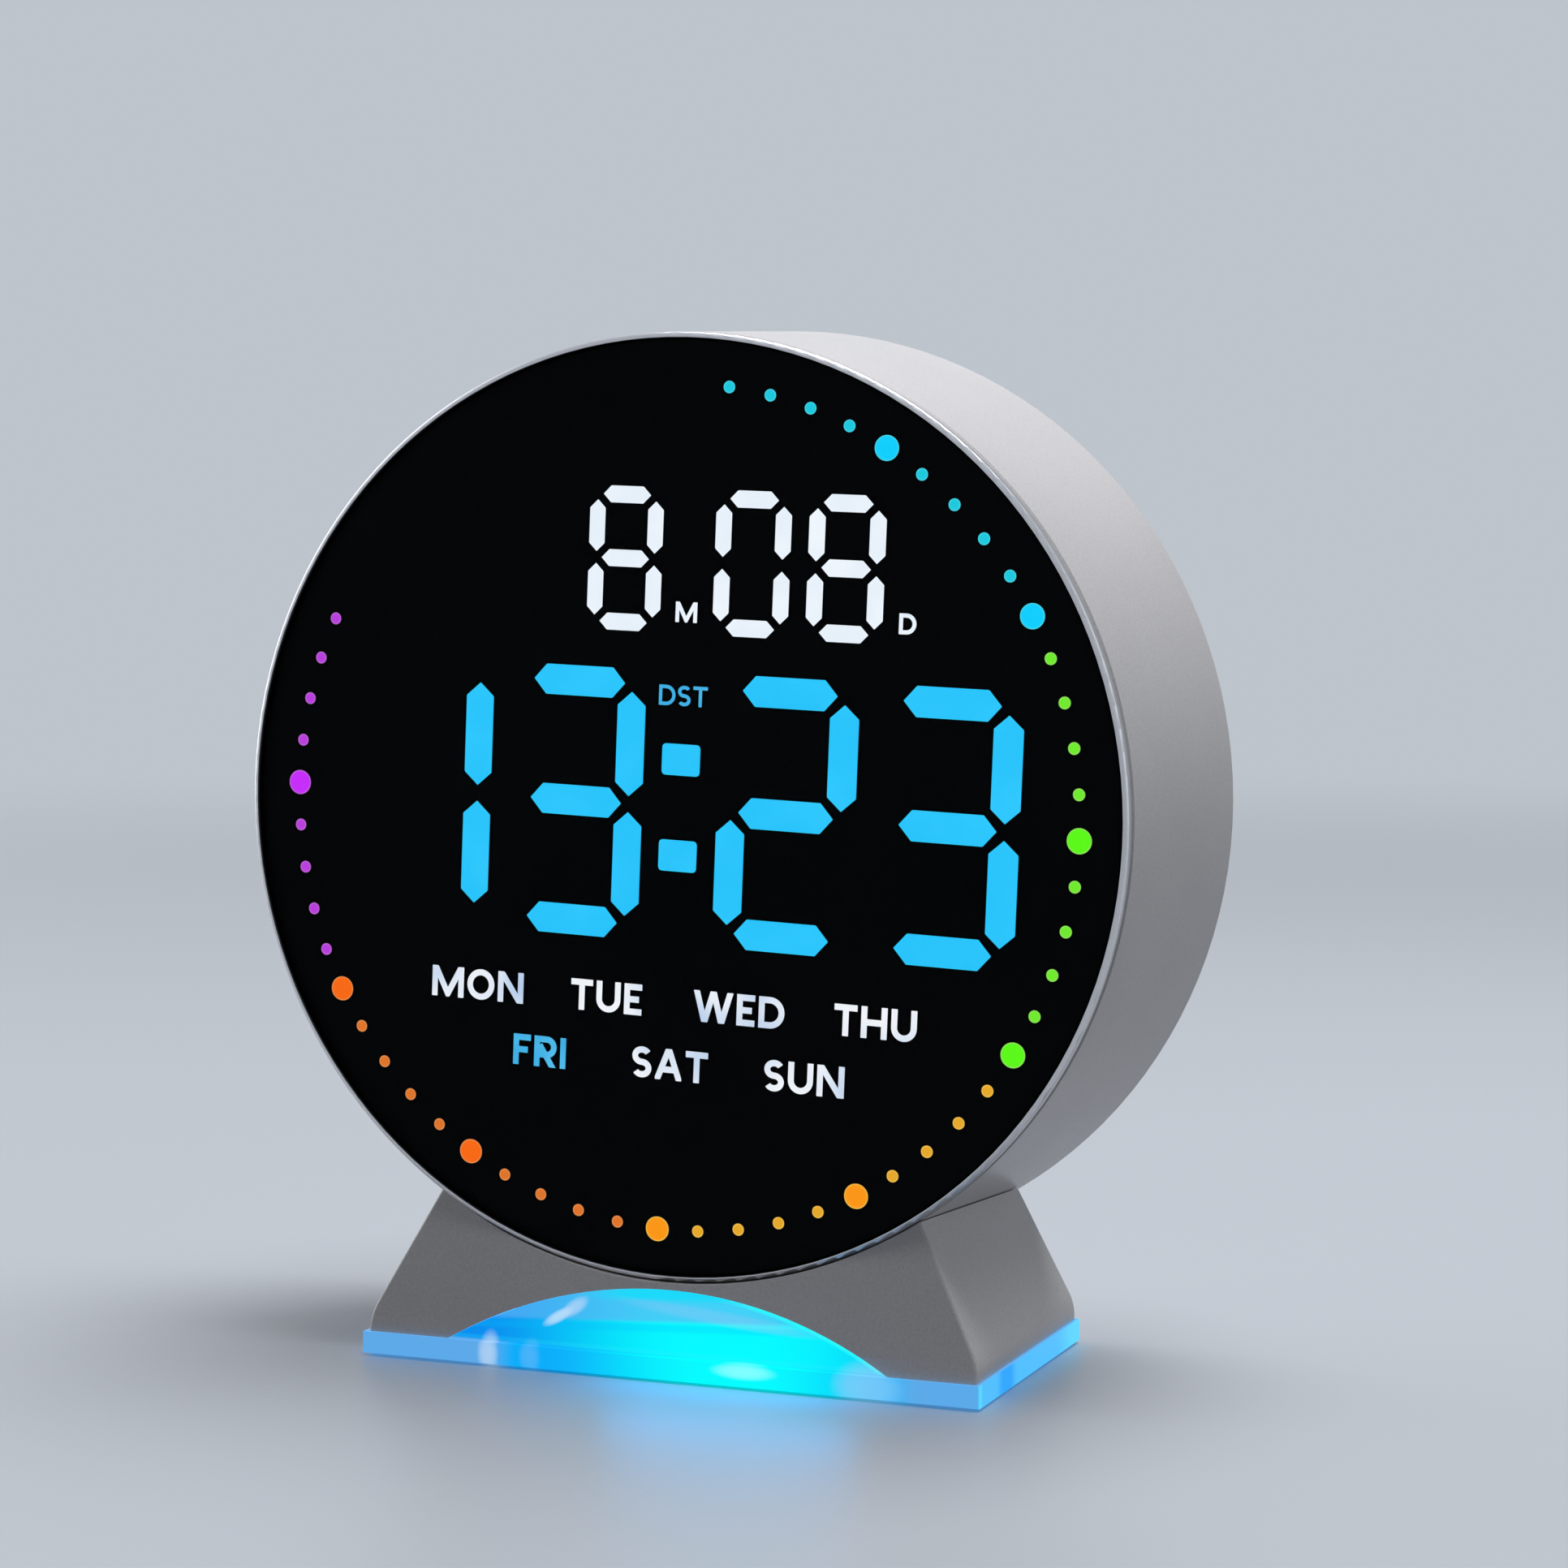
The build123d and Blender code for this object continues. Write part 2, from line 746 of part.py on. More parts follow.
def screw(plane, places, radius, length, head_radius, head_height):
    """Cross-headed screws, heads' undersides on the plane and shanks along its normal."""
    with BuildPart() as screws:
        with BuildSketch(plane):
            with Locations(*places):
                Circle(radius)
        extrude(amount=length)
        with BuildSketch(plane):
            with Locations(*places):
                Circle(head_radius)
        extrude(amount=-head_height)
        cross = [2 * head_radius * share for share in (recess_span_share, recess_width_share)]
        with BuildSketch(plane.offset(-head_height)):
            with Locations(*places):
                Rectangle(cross[0], cross[1])
                Rectangle(cross[1], cross[0])
        extrude(amount=recess_depth_share * head_height, mode=Mode.SUBTRACT)
    return screws


# Screws that hold the main board to the reflector, driven from behind
board_screws = screw(face_plane(main_board_back), board_screw_places, small_screw_radius, board_screw_length,
                     small_head_radius, small_head_height)
board_screws.part.label = "board_screws"
export_step(board_screws.part, "parts/board_screws.step")

# Controller chip: a square body with leads on four sides, on the back of the main board
with BuildPart() as controller_chip:
    with BuildSketch(face_plane(main_board_back + chip_height)):
        with Locations(on_board(controller_place_shares)):
            Rectangle(controller_size, controller_size)
    extrude(amount=chip_height - chip_standoff)
    with BuildSketch(face_plane(main_board_back + chip_height / 2)):
        lead_span = controller_size + 2 * lead_reach
        lead_count = int((controller_size - lead_pitch) / lead_pitch)
        with Locations(on_board(controller_place_shares)):
            with GridLocations(lead_pitch, 0, lead_count, 1):
                Rectangle(lead_width, lead_span)
            with GridLocations(0, lead_pitch, 1, lead_count):
                Rectangle(lead_span, lead_width)
    extrude(amount=chip_height / 2)
controller_chip.part.label = "controller_chip"
export_step(controller_chip.part, "parts/controller_chip.step")

# Lamp driver chips: two long bodies with leads on two sides
driver_places = [on_board(shares) for shares in driver_place_shares]
with BuildPart() as driver_chips:
    with BuildSketch(face_plane(main_board_back + chip_height)):
        with Locations(*driver_places):
            Rectangle(driver_width, driver_length)
    extrude(amount=chip_height - chip_standoff)
    with BuildSketch(face_plane(main_board_back + chip_height / 2)):
        with Locations(*driver_places):
            with GridLocations(0, lead_pitch, 1, int((driver_length - lead_pitch) / lead_pitch)):
                Rectangle(driver_width + 2 * lead_reach, lead_width)
    extrude(amount=chip_height / 2)
driver_chips.part.label = "driver_chips"
export_step(driver_chips.part, "parts/driver_chips.step")

# Clock crystal: a small can lying on the board
with BuildPart() as clock_crystal:
    with BuildSketch(face_plane(main_board_back + 2 * crystal_radius)):
        with Locations(on_board(crystal_place_shares)):
            RectangleRounded(crystal_length, 2 * crystal_radius, crystal_radius - lip_break)
    extrude(amount=2 * crystal_radius)
clock_crystal.part.label = "clock_crystal"
export_step(clock_crystal.part, "parts/clock_crystal.step")

# Headers that the ribbon plugs into: one on the main board, one on the rear board
front_header_place = on_board(front_header_place_shares)
rear_header_place = (front_header_place[0], front_header_place[1] - ribbon_step)
with BuildPart() as link_headers:
    with BuildSketch(face_plane(main_board_back + header_height)):
        with Locations(front_header_place):
            Rectangle(header_length, header_width)
    extrude(amount=header_height)
    with BuildSketch(face_plane(rear_board_front)):
        with Locations(rear_header_place):
            Rectangle(header_length, header_width)
    extrude(amount=header_height)
link_headers.part.label = "link_headers"
export_step(link_headers.part, "parts/link_headers.step")

# Ribbon between the two headers, bent once each way
ribbon_start = main_board_back + header_height
ribbon_end = rear_board_front - header_height
ribbon_straight = ribbon_straight_share * (ribbon_end - ribbon_start)
with BuildPart() as link_ribbon:
    with BuildSketch(side_plane(front_header_place[0] - ribbon_width / 2)):
        with BuildLine():
            FilletPolyline(
                (ribbon_start, front_header_place[1]),
                (ribbon_start + ribbon_straight, front_header_place[1]),
                (ribbon_end - ribbon_straight, rear_header_place[1]),
                (ribbon_end, rear_header_place[1]),
                radius=ribbon_straight,
            )
        trace(line_width=ribbon_thickness)
    extrude(amount=ribbon_width)
link_ribbon.part.label = "link_ribbon"
export_step(link_ribbon.part, "parts/link_ribbon.step")

# Header for the base lamps' lead, at the foot of the main board
with BuildPart() as lamp_header:
    with BuildSketch(face_plane(main_board_back + lamp_header_height)):
        with Locations((lamp_lead_side, lamp_lead_top)):
            Rectangle(lamp_header_length, lamp_header_width)
    extrude(amount=lamp_header_height)
lamp_header.part.label = "lamp_header"
export_step(lamp_header.part, "parts/lamp_header.step")

# Flat lead from that header, down through the drum's wall and the saddle, to the lamp strip
strip_front = hump_back + strip_lamp_gap + strip_lamp_height
strip_back = strip_front + strip_thickness
strip_middle = plate_top + strip_height / 2
with BuildPart() as lamp_lead:
    with BuildSketch(side_plane(lamp_lead_side - lamp_lead_width / 2)):
        with BuildLine():
            FilletPolyline(
                (main_board_back + lamp_header_height, lamp_lead_top),
                (lead_hole_depth, lamp_lead_top),
                (lead_hole_depth, strip_middle),
                (strip_back, strip_middle),
                radius=lamp_lead_bend,
            )
        trace(line_width=lamp_lead_thickness)
    extrude(amount=lamp_lead_width)
lamp_lead.part.label = "lamp_lead"
export_step(lamp_lead.part, "parts/lamp_lead.step")

# Rear board: carries the switches, buzzer, backup cell and power socket
with BuildPart() as rear_board:
    with BuildSketch(face_plane(rear_board_rear)):
        with Locations((0, (rear_board_top + rear_board_foot) / 2)):
            RectangleRounded(rear_board_width, rear_board_top - rear_board_foot, rear_board_corner)
        with Locations(*post_places):
            Circle(small_screw_radius + screw_fit, mode=Mode.SUBTRACT)
    extrude(amount=board_thickness)
rear_board.part.label = "rear_board"
export_step(rear_board.part, "parts/rear_board.step")

# Screws that hold the rear board to the cover's posts, driven from the front
rear_board_screw_length = board_thickness + post_screw_share * post_length
rear_board_screws = screw(
    Plane(origin=(0, rim_y + rear_board_front, centre_height), x_dir=(1, 0, 0), z_dir=(0, 1, 0)),
    [(across, -up) for across, up in post_places], small_screw_radius, rear_board_screw_length,
    small_head_radius, small_head_height)
rear_board_screws.part.label = "rear_board_screws"
export_step(rear_board_screws.part, "parts/rear_board_screws.step")

# Push switches: four square bodies, each with a well for its plunger
switch_top = rear_board_rear + switch_height
switch_places = [(across, button_height) for across in button_places.values()]
plunger_well = plunger_length - plunger_proud + button_travel + button_gap
with BuildPart() as push_switches:
    with BuildSketch(face_plane(switch_top)):
        with Locations(*switch_places):
            Rectangle(switch_size, switch_size)
    extrude(amount=switch_height)
    with BuildSketch(face_plane(switch_top)):
        with Locations(*switch_places):
            Circle(plunger_radius + plunger_fit)
    extrude(amount=plunger_well, mode=Mode.SUBTRACT)
push_switches.part.label = "push_switches"
export_step(push_switches.part, "parts/push_switches.step")

# Buttons: dished cap through the cover, flange behind it, and a stem on the switch's plunger
button_end = cover_outer + button_proud
flange_back = cover_inner - button_gap
flange_front = flange_back - button_flange_thickness
plunger_top = switch_top + plunger_proud
for name, across in button_places.items():
    with BuildPart() as button:
        with BuildSketch(face_plane(button_end)):
            with Locations((across, button_height)):
                Circle(button_radius)
        extrude(amount=button_end - flange_front)
        fillet(button.faces().sort_by(Axis.Y)[-1].edges(), radius=button_edge)
        with BuildSketch(face_plane(button_end)):
            with Locations((across, button_height)):
                Circle(button_dish_radius)
        extrude(amount=button_dish_depth, mode=Mode.SUBTRACT)
        with BuildSketch(face_plane(flange_back)):
            with Locations((across, button_height)):
                Circle(button_radius + button_flange)
        extrude(amount=button_flange_thickness)
        with BuildSketch(face_plane(flange_front)):
            with Locations((across, button_height)):
                Circle(button_stem_radius)
        extrude(amount=flange_front - plunger_top)
    button.part.label = name
    export_step(button.part, f"parts/{name}.step")

    with BuildPart() as plunger:
        with BuildSketch(face_plane(plunger_top)):
            with Locations((across, button_height)):
                Circle(plunger_radius)
        extrude(amount=plunger_length)
    plunger_name = name.replace("button", "plunger")
    plunger.part.label = plunger_name
    export_step(plunger.part, f"parts/{plunger_name}.step")

# Buzzer under the cover's sound holes
with BuildPart() as buzzer:
    with BuildSketch(face_plane(rear_board_rear + buzzer_height)):
        with Locations(buzzer_place):
            Circle(buzzer_radius)
    extrude(amount=buzzer_height)
    with BuildSketch(face_plane(rear_board_rear + buzzer_height)):
        with Locations(buzzer_place):
            Circle(buzzer_hole_radius)
    extrude(amount=buzzer_height / 2, mode=Mode.SUBTRACT)
buzzer.part.label = "buzzer"
export_step(buzzer.part, "parts/buzzer.step")

# Holder for the backup cell: a shallow cup with a slot to lift the cell out
holder_radius = cell_radius + cell_fit + holder_wall
holder_top = rear_board_rear + holder_floor + cell_thickness + holder_rim
with BuildPart() as cell_holder:
    with BuildSketch(face_plane(holder_top)):
        with Locations(cell_place):
            Circle(holder_radius)
    extrude(amount=holder_top - rear_board_rear)
    with BuildSketch(face_plane(holder_top)):
        with Locations(cell_place):
            Circle(cell_radius + cell_fit)
            Rectangle(clip_width, 2 * holder_radius, align=(Align.CENTER, Align.MAX))
    extrude(amount=cell_thickness + holder_rim, mode=Mode.SUBTRACT)
cell_holder.part.label = "cell_holder"
export_step(cell_holder.part, "parts/cell_holder.step")

# Backup cell
with BuildPart() as backup_cell:
    with BuildSketch(face_plane(holder_top - holder_rim)):
        with Locations(cell_place):
            Circle(cell_radius)
    extrude(amount=cell_thickness)
    chamfer(backup_cell.edges().filter_by(GeomType.CIRCLE), length=lip_break)
backup_cell.part.label = "backup_cell"
export_step(backup_cell.part, "parts/backup_cell.step")

# Spring clip across the cell
with BuildPart() as cell_clip:
    with BuildSketch(face_plane(holder_top + clip_thickness)):
        with Locations(cell_place):
            Rectangle(2 * holder_radius, clip_width)
    extrude(amount=clip_thickness)
    with BuildSketch(face_plane(holder_top)):
        with Locations(cell_place):
            Rectangle(cell_radius, clip_width)
    extrude(amount=holder_rim)
cell_clip.part.label = "cell_clip"
export_step(cell_clip.part, "parts/cell_clip.step")

# Power socket: an upright metal shell on the rear board, with a contact tongue in its mouth
socket_mouth = cover_outer - socket_setback
socket_floor = socket_mouth - socket_depth
with BuildPart() as power_socket:
    with BuildSketch(face_plane(socket_mouth)):
        with Locations(socket_place):
            SlotOverall(socket_width, socket_height)
    extrude(amount=socket_mouth - rear_board_rear)
    with BuildSketch(face_plane(socket_mouth)):
        with Locations(socket_place):
            SlotOverall(socket_width - 2 * socket_shell, socket_height - 2 * socket_shell)
    extrude(amount=socket_depth, mode=Mode.SUBTRACT)
power_socket.part.label = "power_socket"
export_step(power_socket.part, "parts/power_socket.step")

with BuildPart() as socket_tongue:
    with BuildSketch(face_plane(socket_floor + socket_tongue_length)):
        with Locations(socket_place):
            Rectangle(socket_tongue_width, socket_tongue_thickness)
    extrude(amount=socket_tongue_length)
socket_tongue.part.label = "socket_tongue"
export_step(socket_tongue.part, "parts/socket_tongue.step")


def draw_door(fit):
    """Outline of the cell door: a disc with an ear for its screw."""
    with Locations(cell_place):
        Circle(door_radius + fit)
    with Locations(door_ear_place):
        Circle(door_ear_radius + fit)


# Rear cover: plate with posts, cell well, door seat, sound holes and openings
door_seat = cover_outer - door_thickness
cover_radius = inner_radius(cover_inner) - cover_fit
well_inner = holder_radius + well_fit
cover_head_seat = cover_outer - cover_head_height
sound_ring = ring_places(sound_ring_radius, sound_hole_count, sound_hole_turn)
sound_places = [buzzer_place, *[(across, buzzer_rise + up) for across, up in sound_ring]]
with BuildPart() as rear_cover:
    with BuildSketch(face_plane(cover_outer)):
        Circle(cover_radius)
    extrude(amount=cover_thickness)
    with BuildSketch(face_plane(cover_inner)):
        with Locations(*post_places):
            Circle(post_radius)
    extrude(amount=post_length)
    with BuildSketch(face_plane(cover_inner)):
        with Locations(cell_place):
            Circle(well_inner + well_wall)
            Circle(well_inner, mode=Mode.SUBTRACT)
    extrude(amount=post_length - well_gap)
    with BuildSketch(face_plane(cover_inner)):
        with Locations(door_ear_place):
            Circle(door_boss_radius)
        with Locations(cell_place):
            Circle(well_inner, mode=Mode.SUBTRACT)
    extrude(amount=door_boss_length)
    with BuildSketch(face_plane(cover_outer)):
        draw_door(door_fit)
    extrude(amount=door_thickness, mode=Mode.SUBTRACT)
    with BuildSketch(face_plane(cover_outer)):
        with Locations(cell_place):
            Circle(door_opening_radius)
        with Locations(*switch_places):
            Circle(button_radius + button_fit)
        with Locations(*sound_places):
            Circle(sound_hole_radius)
        with Locations(socket_place):
            SlotOverall(socket_width + 2 * socket_clearance, socket_height + 2 * socket_clearance)
        with Locations(*diagonal_places):
            Circle(large_screw_radius + screw_fit)
    extrude(amount=cover_thickness, mode=Mode.SUBTRACT)
    with BuildSketch(face_plane(cover_outer)):
        with Locations(*diagonal_places):
            Circle(large_head_radius + screw_fit)
    extrude(amount=cover_head_height, mode=Mode.SUBTRACT)
    with BuildSketch(face_plane(door_seat)):
        with Locations(door_ear_place):
            Circle(small_screw_radius + screw_fit)
    extrude(amount=door_screw_length, mode=Mode.SUBTRACT)
    with BuildSketch(face_plane(rear_board_rear + rear_board_screw_length - board_thickness)):
        with Locations(*post_places):
            Circle(small_screw_radius + screw_fit)
    extrude(amount=rear_board_screw_length - board_thickness, mode=Mode.SUBTRACT)
rear_cover.part.label = "rear_cover"
export_step(rear_cover.part, "parts/rear_cover.step")

# Screws that hold the rear cover to the drum's pillars
cover_screws = screw(face_plane(cover_head_seat), diagonal_places, large_screw_radius,
                     cover_head_seat - cover_inner + cover_screw_length, large_head_radius, cover_head_height)
cover_screws.part.label = "cover_screws"
export_step(cover_screws.part, "parts/cover_screws.step")

# Cell door, held by one screw through its ear, with grip grooves
with BuildPart() as cell_door:
    with BuildSketch(face_plane(cover_outer)):
        draw_door(0)
    extrude(amount=door_thickness)
    with BuildSketch(face_plane(cover_outer)):
        with Locations(door_ear_place):
            Circle(door_head_radius + screw_fit)
    extrude(amount=door_head_height, mode=Mode.SUBTRACT)
    with BuildSketch(face_plane(cover_outer)):
        with Locations(door_ear_place):
            Circle(small_screw_radius + screw_fit)
    extrude(amount=door_thickness, mode=Mode.SUBTRACT)
    with BuildSketch(face_plane(cover_outer)):
        with Locations(cell_place):
            with GridLocations(0, door_grip_pitch, 1, door_grip_count):
                SlotOverall(door_grip_width, door_grip_height)
    extrude(amount=door_grip_depth, mode=Mode.SUBTRACT)
cell_door.part.label = "cell_door"
export_step(cell_door.part, "parts/cell_door.step")

# The cell door's screw
door_screw_seat = cover_outer - door_head_height
door_screw = screw(face_plane(door_screw_seat), [door_ear_place], small_screw_radius,
                   door_screw_seat - door_seat + door_screw_length, door_head_radius, door_head_height)
door_screw.part.label = "door_screw"
export_step(door_screw.part, "parts/door_screw.step")


def drum_outline(gap):
    """Half section of the space that the drum takes, a gap larger all round."""
    return [(0, -drum_depth), (rim_radius + gap, -drum_depth), (rim_radius + gap, 0),
            (rear_radius + gap, drum_depth), (0, drum_depth)]


def stand_solid(inset, drum_gap):
    """The stand's outer form, or its hollow when inset by the wall: sloping sides and a leaning front."""
    rise = -knee_height
    half = stand_width / 2 - inset
    top_half = half - rise * tan(radians(stand_side_angle))
    front = stand_front + inset
    top_front = front + (rise + stand_foot_height) * tan(radians(stand_front_lean))
    rear = stand_rear - inset
    with BuildPart() as form:
        with BuildSketch(face_plane(rear)) as outline:
            with BuildLine():
                Polyline((-half, plate_top), (half, plate_top), (half, knee_height), (top_half, 0),
                         (-top_half, 0), (-half, knee_height), close=True)
            make_face()
            if not inset:
                knees = [outline.vertices().sort_by_distance((way * half, knee_height, 0))[0]
                         for way in (-1, 1)]
                fillet(knees, radius=stand_knee_round)
        extrude(amount=rear - front)
        with BuildSketch(side_plane(0)):
            with BuildLine():
                Polyline((front, plate_top), (rear, plate_top), (rear, 0), (top_front, 0), close=True)
            make_face()
        extrude(amount=stand_width, both=True, mode=Mode.INTERSECT)
        if not inset:
            front_face = form.faces().sort_by(Axis.Y)[0]
            corners = [edge for edge in front_face.edges() if abs(edge.center().X) > stand_edge_radius]
            fillet(corners, radius=stand_edge_radius)
        with BuildSketch(level_plane(0)):
            with BuildLine():
                Polyline(*drum_outline(drum_gap), close=True)
            make_face()
        revolve(axis=drum_axis, mode=Mode.SUBTRACT)
    return form.part


stand_form = stand_solid(0, saddle_gap)
stand_hollow = stand_solid(stand_wall, saddle_gap + stand_wall)
guide_screw_places = [(side, depth) for side in (-guide_screw_side, guide_screw_side)
                      for depth in (stand_front + guide_screw_inset, stand_rear - guide_screw_inset)]

# Stand: a hollow silver saddle under the drum with an arched window in its front
with BuildPart() as stand_bosses:
    with BuildSketch(level_plane(plate_top)):
        with Locations(*guide_screw_places):
            Circle(guide_boss_radius)
    extrude(amount=guide_boss_height)
    with BuildSketch(level_plane(plate_top + stand_boss_gap)):
        with Locations(*[(0, depth) for depth in stand_screw_depths]):
            Circle(stand_boss_radius)
    extrude(amount=-plate_top - stand_boss_gap)
    add(stand_form, mode=Mode.INTERSECT)
with BuildPart() as stand_shell:
    add(stand_form)
    add(stand_hollow, mode=Mode.SUBTRACT)
    add(stand_bosses.part)
    with BuildSketch(face_plane(hump_back + strip_lamp_gap)):
        with Locations((0, arch_centre)):
            Circle(arch_radius)
    extrude(amount=hump_back + strip_lamp_gap + guide_overhang + overrun, mode=Mode.SUBTRACT)
    with BuildSketch(level_plane(plate_top)):
        with Locations(*guide_screw_places):
            Circle(large_screw_radius + screw_fit)
    extrude(amount=guide_screw_length, mode=Mode.SUBTRACT)
    with BuildSketch(level_plane(0)):
        with Locations(*[(0, depth) for depth in stand_screw_depths]):
            Circle(large_screw_radius + screw_fit)
    extrude(amount=plate_top + stand_boss_gap, mode=Mode.SUBTRACT)
    with BuildSketch(level_plane(0)):
        with Locations((lamp_lead_side, lead_hole_depth)):
            Circle(lead_hole_radius)
    extrude(amount=strip_middle, mode=Mode.SUBTRACT)
stand_shell.part.label = "stand_shell"
export_step(stand_shell.part, "parts/stand_shell.step")

# Screws from inside the drum down into the stand's bosses
pad_top = -inner_radius(0) + screw_pad_height
stand_screws = screw(
    Plane(origin=(0, rim_y, centre_height + pad_top), x_dir=(1, 0, 0), z_dir=(0, 0, -1)),
    [(0, -depth) for depth in stand_screw_depths], large_screw_radius, stand_screw_length,
    large_head_radius, large_head_height)
stand_screws.part.label = "stand_screws"
export_step(stand_screws.part, "parts/stand_screws.step")

# Light guide: a clear plate under the stand and an arched hump that fills its window
hump_front = stand_front + hump_recess
hump_top_front = hump_front + arch_rise * tan(radians(stand_front_lean))
foot_seat = plate_bottom + foot_thickness - foot_proud
with BuildPart() as light_guide:
    with BuildSketch(face_plane(hump_back)):
        with Locations((0, arch_centre)):
            Circle(arch_radius - arch_fit)
        with Locations((0, plate_top)):
            Rectangle(2 * arch_radius, 2 * arch_radius, align=(Align.CENTER, Align.MIN), mode=Mode.INTERSECT)
    extrude(amount=hump_back + guide_overhang)
    with BuildSketch(side_plane(0)):
        with BuildLine():
            Polyline((hump_front, plate_top), (hump_back, plate_top), (hump_back, plate_top + arch_rise),
                     (hump_top_front, plate_top + arch_rise), close=True)
        make_face()
    extrude(amount=guide_width, both=True, mode=Mode.INTERSECT)
    with BuildSketch(level_plane(plate_bottom)):
        with Locations((0, (guide_front + guide_rear) / 2)):
            Rectangle(guide_width, guide_rear - guide_front)
    extrude(amount=guide_thickness)
    with BuildSketch(level_plane(plate_bottom)):
        with Locations(*guide_screw_places):
            Circle(large_screw_radius + screw_fit)
    extrude(amount=guide_thickness, mode=Mode.SUBTRACT)
    with BuildSketch(level_plane(foot_seat)):
        with Locations(*guide_screw_places):
            Circle(large_head_radius + foot_fit)
    extrude(amount=large_head_height, mode=Mode.SUBTRACT)
    with BuildSketch(level_plane(plate_bottom)):
        with Locations(*guide_screw_places):
            Circle(foot_radius + foot_fit)
    extrude(amount=foot_seat - plate_bottom, mode=Mode.SUBTRACT)
light_guide.part.label = "light_guide"
export_step(light_guide.part, "parts/light_guide.step")

# Screws up through the light guide into the stand
guide_head_seat = foot_seat + large_head_height
guide_screws = screw(level_plane(guide_head_seat), guide_screw_places, large_screw_radius,
                     plate_top - guide_head_seat + guide_screw_length, large_head_radius, large_head_height)
guide_screws.part.label = "guide_screws"
export_step(guide_screws.part, "parts/guide_screws.step")

# Rubber feet, each over a screw head
with BuildPart() as rubber_feet:
    with BuildSketch(level_plane(-centre_height)):
        with Locations(*guide_screw_places):
            Circle(foot_radius)
    extrude(amount=foot_thickness)
rubber_feet.part.label = "rubber_feet"
export_step(rubber_feet.part, "parts/rubber_feet.step")

# Lamp strip: a narrow board on edge behind the hump, with its lamps facing forward
with BuildPart() as lamp_strip:
    with BuildSketch(face_plane(strip_back)):
        with Locations((0, plate_top)):
            Rectangle(strip_length, strip_height, align=(Align.CENTER, Align.MIN))
    extrude(amount=strip_thickness)
lamp_strip.part.label = "lamp_strip"
export_step(lamp_strip.part, "parts/lamp_strip.step")

with BuildPart() as strip_lamps:
    with BuildSketch(face_plane(strip_front)):
        with Locations((0, strip_middle)):
            with GridLocations(strip_lamp_pitch, 0, strip_lamp_count, 1):
                Rectangle(strip_lamp_size, strip_lamp_size)
    extrude(amount=strip_lamp_height)
strip_lamps.part.label = "strip_lamps"
export_step(strip_lamps.part, "parts/strip_lamps.step")

print(f"Height {centre_height + rear_radius:.1f}, width {2 * rear_radius:.1f}, depth {overall_depth:.1f} mm")
print(f"Arch radius {arch_radius:.1f}, rear cover radius {cover_radius:.1f} mm")
print(f"Farthest window {hypot(*dot_middles[0]) + large_dot_radius:.1f} of {stack_radius:.1f} mm")
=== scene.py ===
# %% [markdown]
# # Dressing a round desk clock
# The clock arrives as finished solids: a silver drum, a black glass front with lit windows behind
# it, a silver stand and a clear base that glows blue. Their shapes stay as they are. This lesson
# gives each one the finish of the real thing, sets it on a pale floor, lights it softly and points
# a camera at it.

# %% Load the clock
import math

import bpy
from mathutils import Matrix, Vector


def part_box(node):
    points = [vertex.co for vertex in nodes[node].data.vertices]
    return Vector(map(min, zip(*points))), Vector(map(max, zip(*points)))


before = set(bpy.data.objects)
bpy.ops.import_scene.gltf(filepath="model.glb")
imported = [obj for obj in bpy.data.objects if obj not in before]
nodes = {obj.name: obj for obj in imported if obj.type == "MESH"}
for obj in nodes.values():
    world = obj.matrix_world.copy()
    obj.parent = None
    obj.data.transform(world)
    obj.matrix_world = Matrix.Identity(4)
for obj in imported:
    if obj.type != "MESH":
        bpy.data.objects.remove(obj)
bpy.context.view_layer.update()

# %% [markdown]
# ## Reading sizes from the clock
# Nothing here is measured twice. The middle of the front glass, its radius and the height of the
# clear plate are read from the solids, so that the camera, the lamps and the painted light all
# follow them.

# %% Places read from the solids
MM = 0.001
lens_low, lens_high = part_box("front_lens")
rim_low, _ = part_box("bezel_ring")
guide_low, guide_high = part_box("light_guide")
stand_low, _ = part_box("stand_shell")
lens_middle = Vector(((lens_low.x + lens_high.x) / 2, rim_low.y, (lens_low.z + lens_high.z) / 2))
lens_radius = (lens_high.x - lens_low.x) / 2
plate_top = stand_low.z
print("lens middle", tuple(lens_middle), "radius", lens_radius, "plate top", plate_top)

# %% [markdown]
# ## Small helpers for materials
# A material is a small network of nodes. It could be wired by hand, one link after another, but a
# long list of links hides the idea behind it. So these helpers add a node, link it and hand back
# its output. Every material below starts from the same Principled shader, and its plain values are
# set on that shader's own sockets.


# %% Helpers: sockets and maths
def feed(tree, value, socket):
    """Set a socket to a plain value, or link another node's output to it."""
    if isinstance(value, bpy.types.NodeSocket):
        tree.links.new(value, socket)
    else:
        socket.default_value = value


def set_plain(sockets, values):
    """Set sockets by name to plain values. An underscore stands for a space in the name."""
    for name, value in values.items():
        sockets[name.replace("_", " ")].default_value = value


def maths(tree, operation, first, second=0.0, third=0.0):
    """One step of arithmetic on numbers or on other nodes' outputs."""
    node = tree.nodes.new("ShaderNodeMath")
    node.operation = operation
    for value, socket in zip((first, second, third), node.inputs):
        feed(tree, value, socket)
    return node.outputs[0]


def ramp_between(tree, value, low, high):
    """A smooth step: 0 below low, 1 above high, and the other way round if low is the larger."""
    node = tree.nodes.new("ShaderNodeMapRange")
    node.interpolation_type = "SMOOTHSTEP"
    feed(tree, value, node.inputs["Value"])
    feed(tree, low, node.inputs["From Min"])
    feed(tree, high, node.inputs["From Max"])
    return node.outputs["Result"]


def between(tree, share, low, high):
    """A number that goes from low to high as the share goes from 0 to 1."""
    return maths(tree, "MULTIPLY_ADD", share, high - low, low)


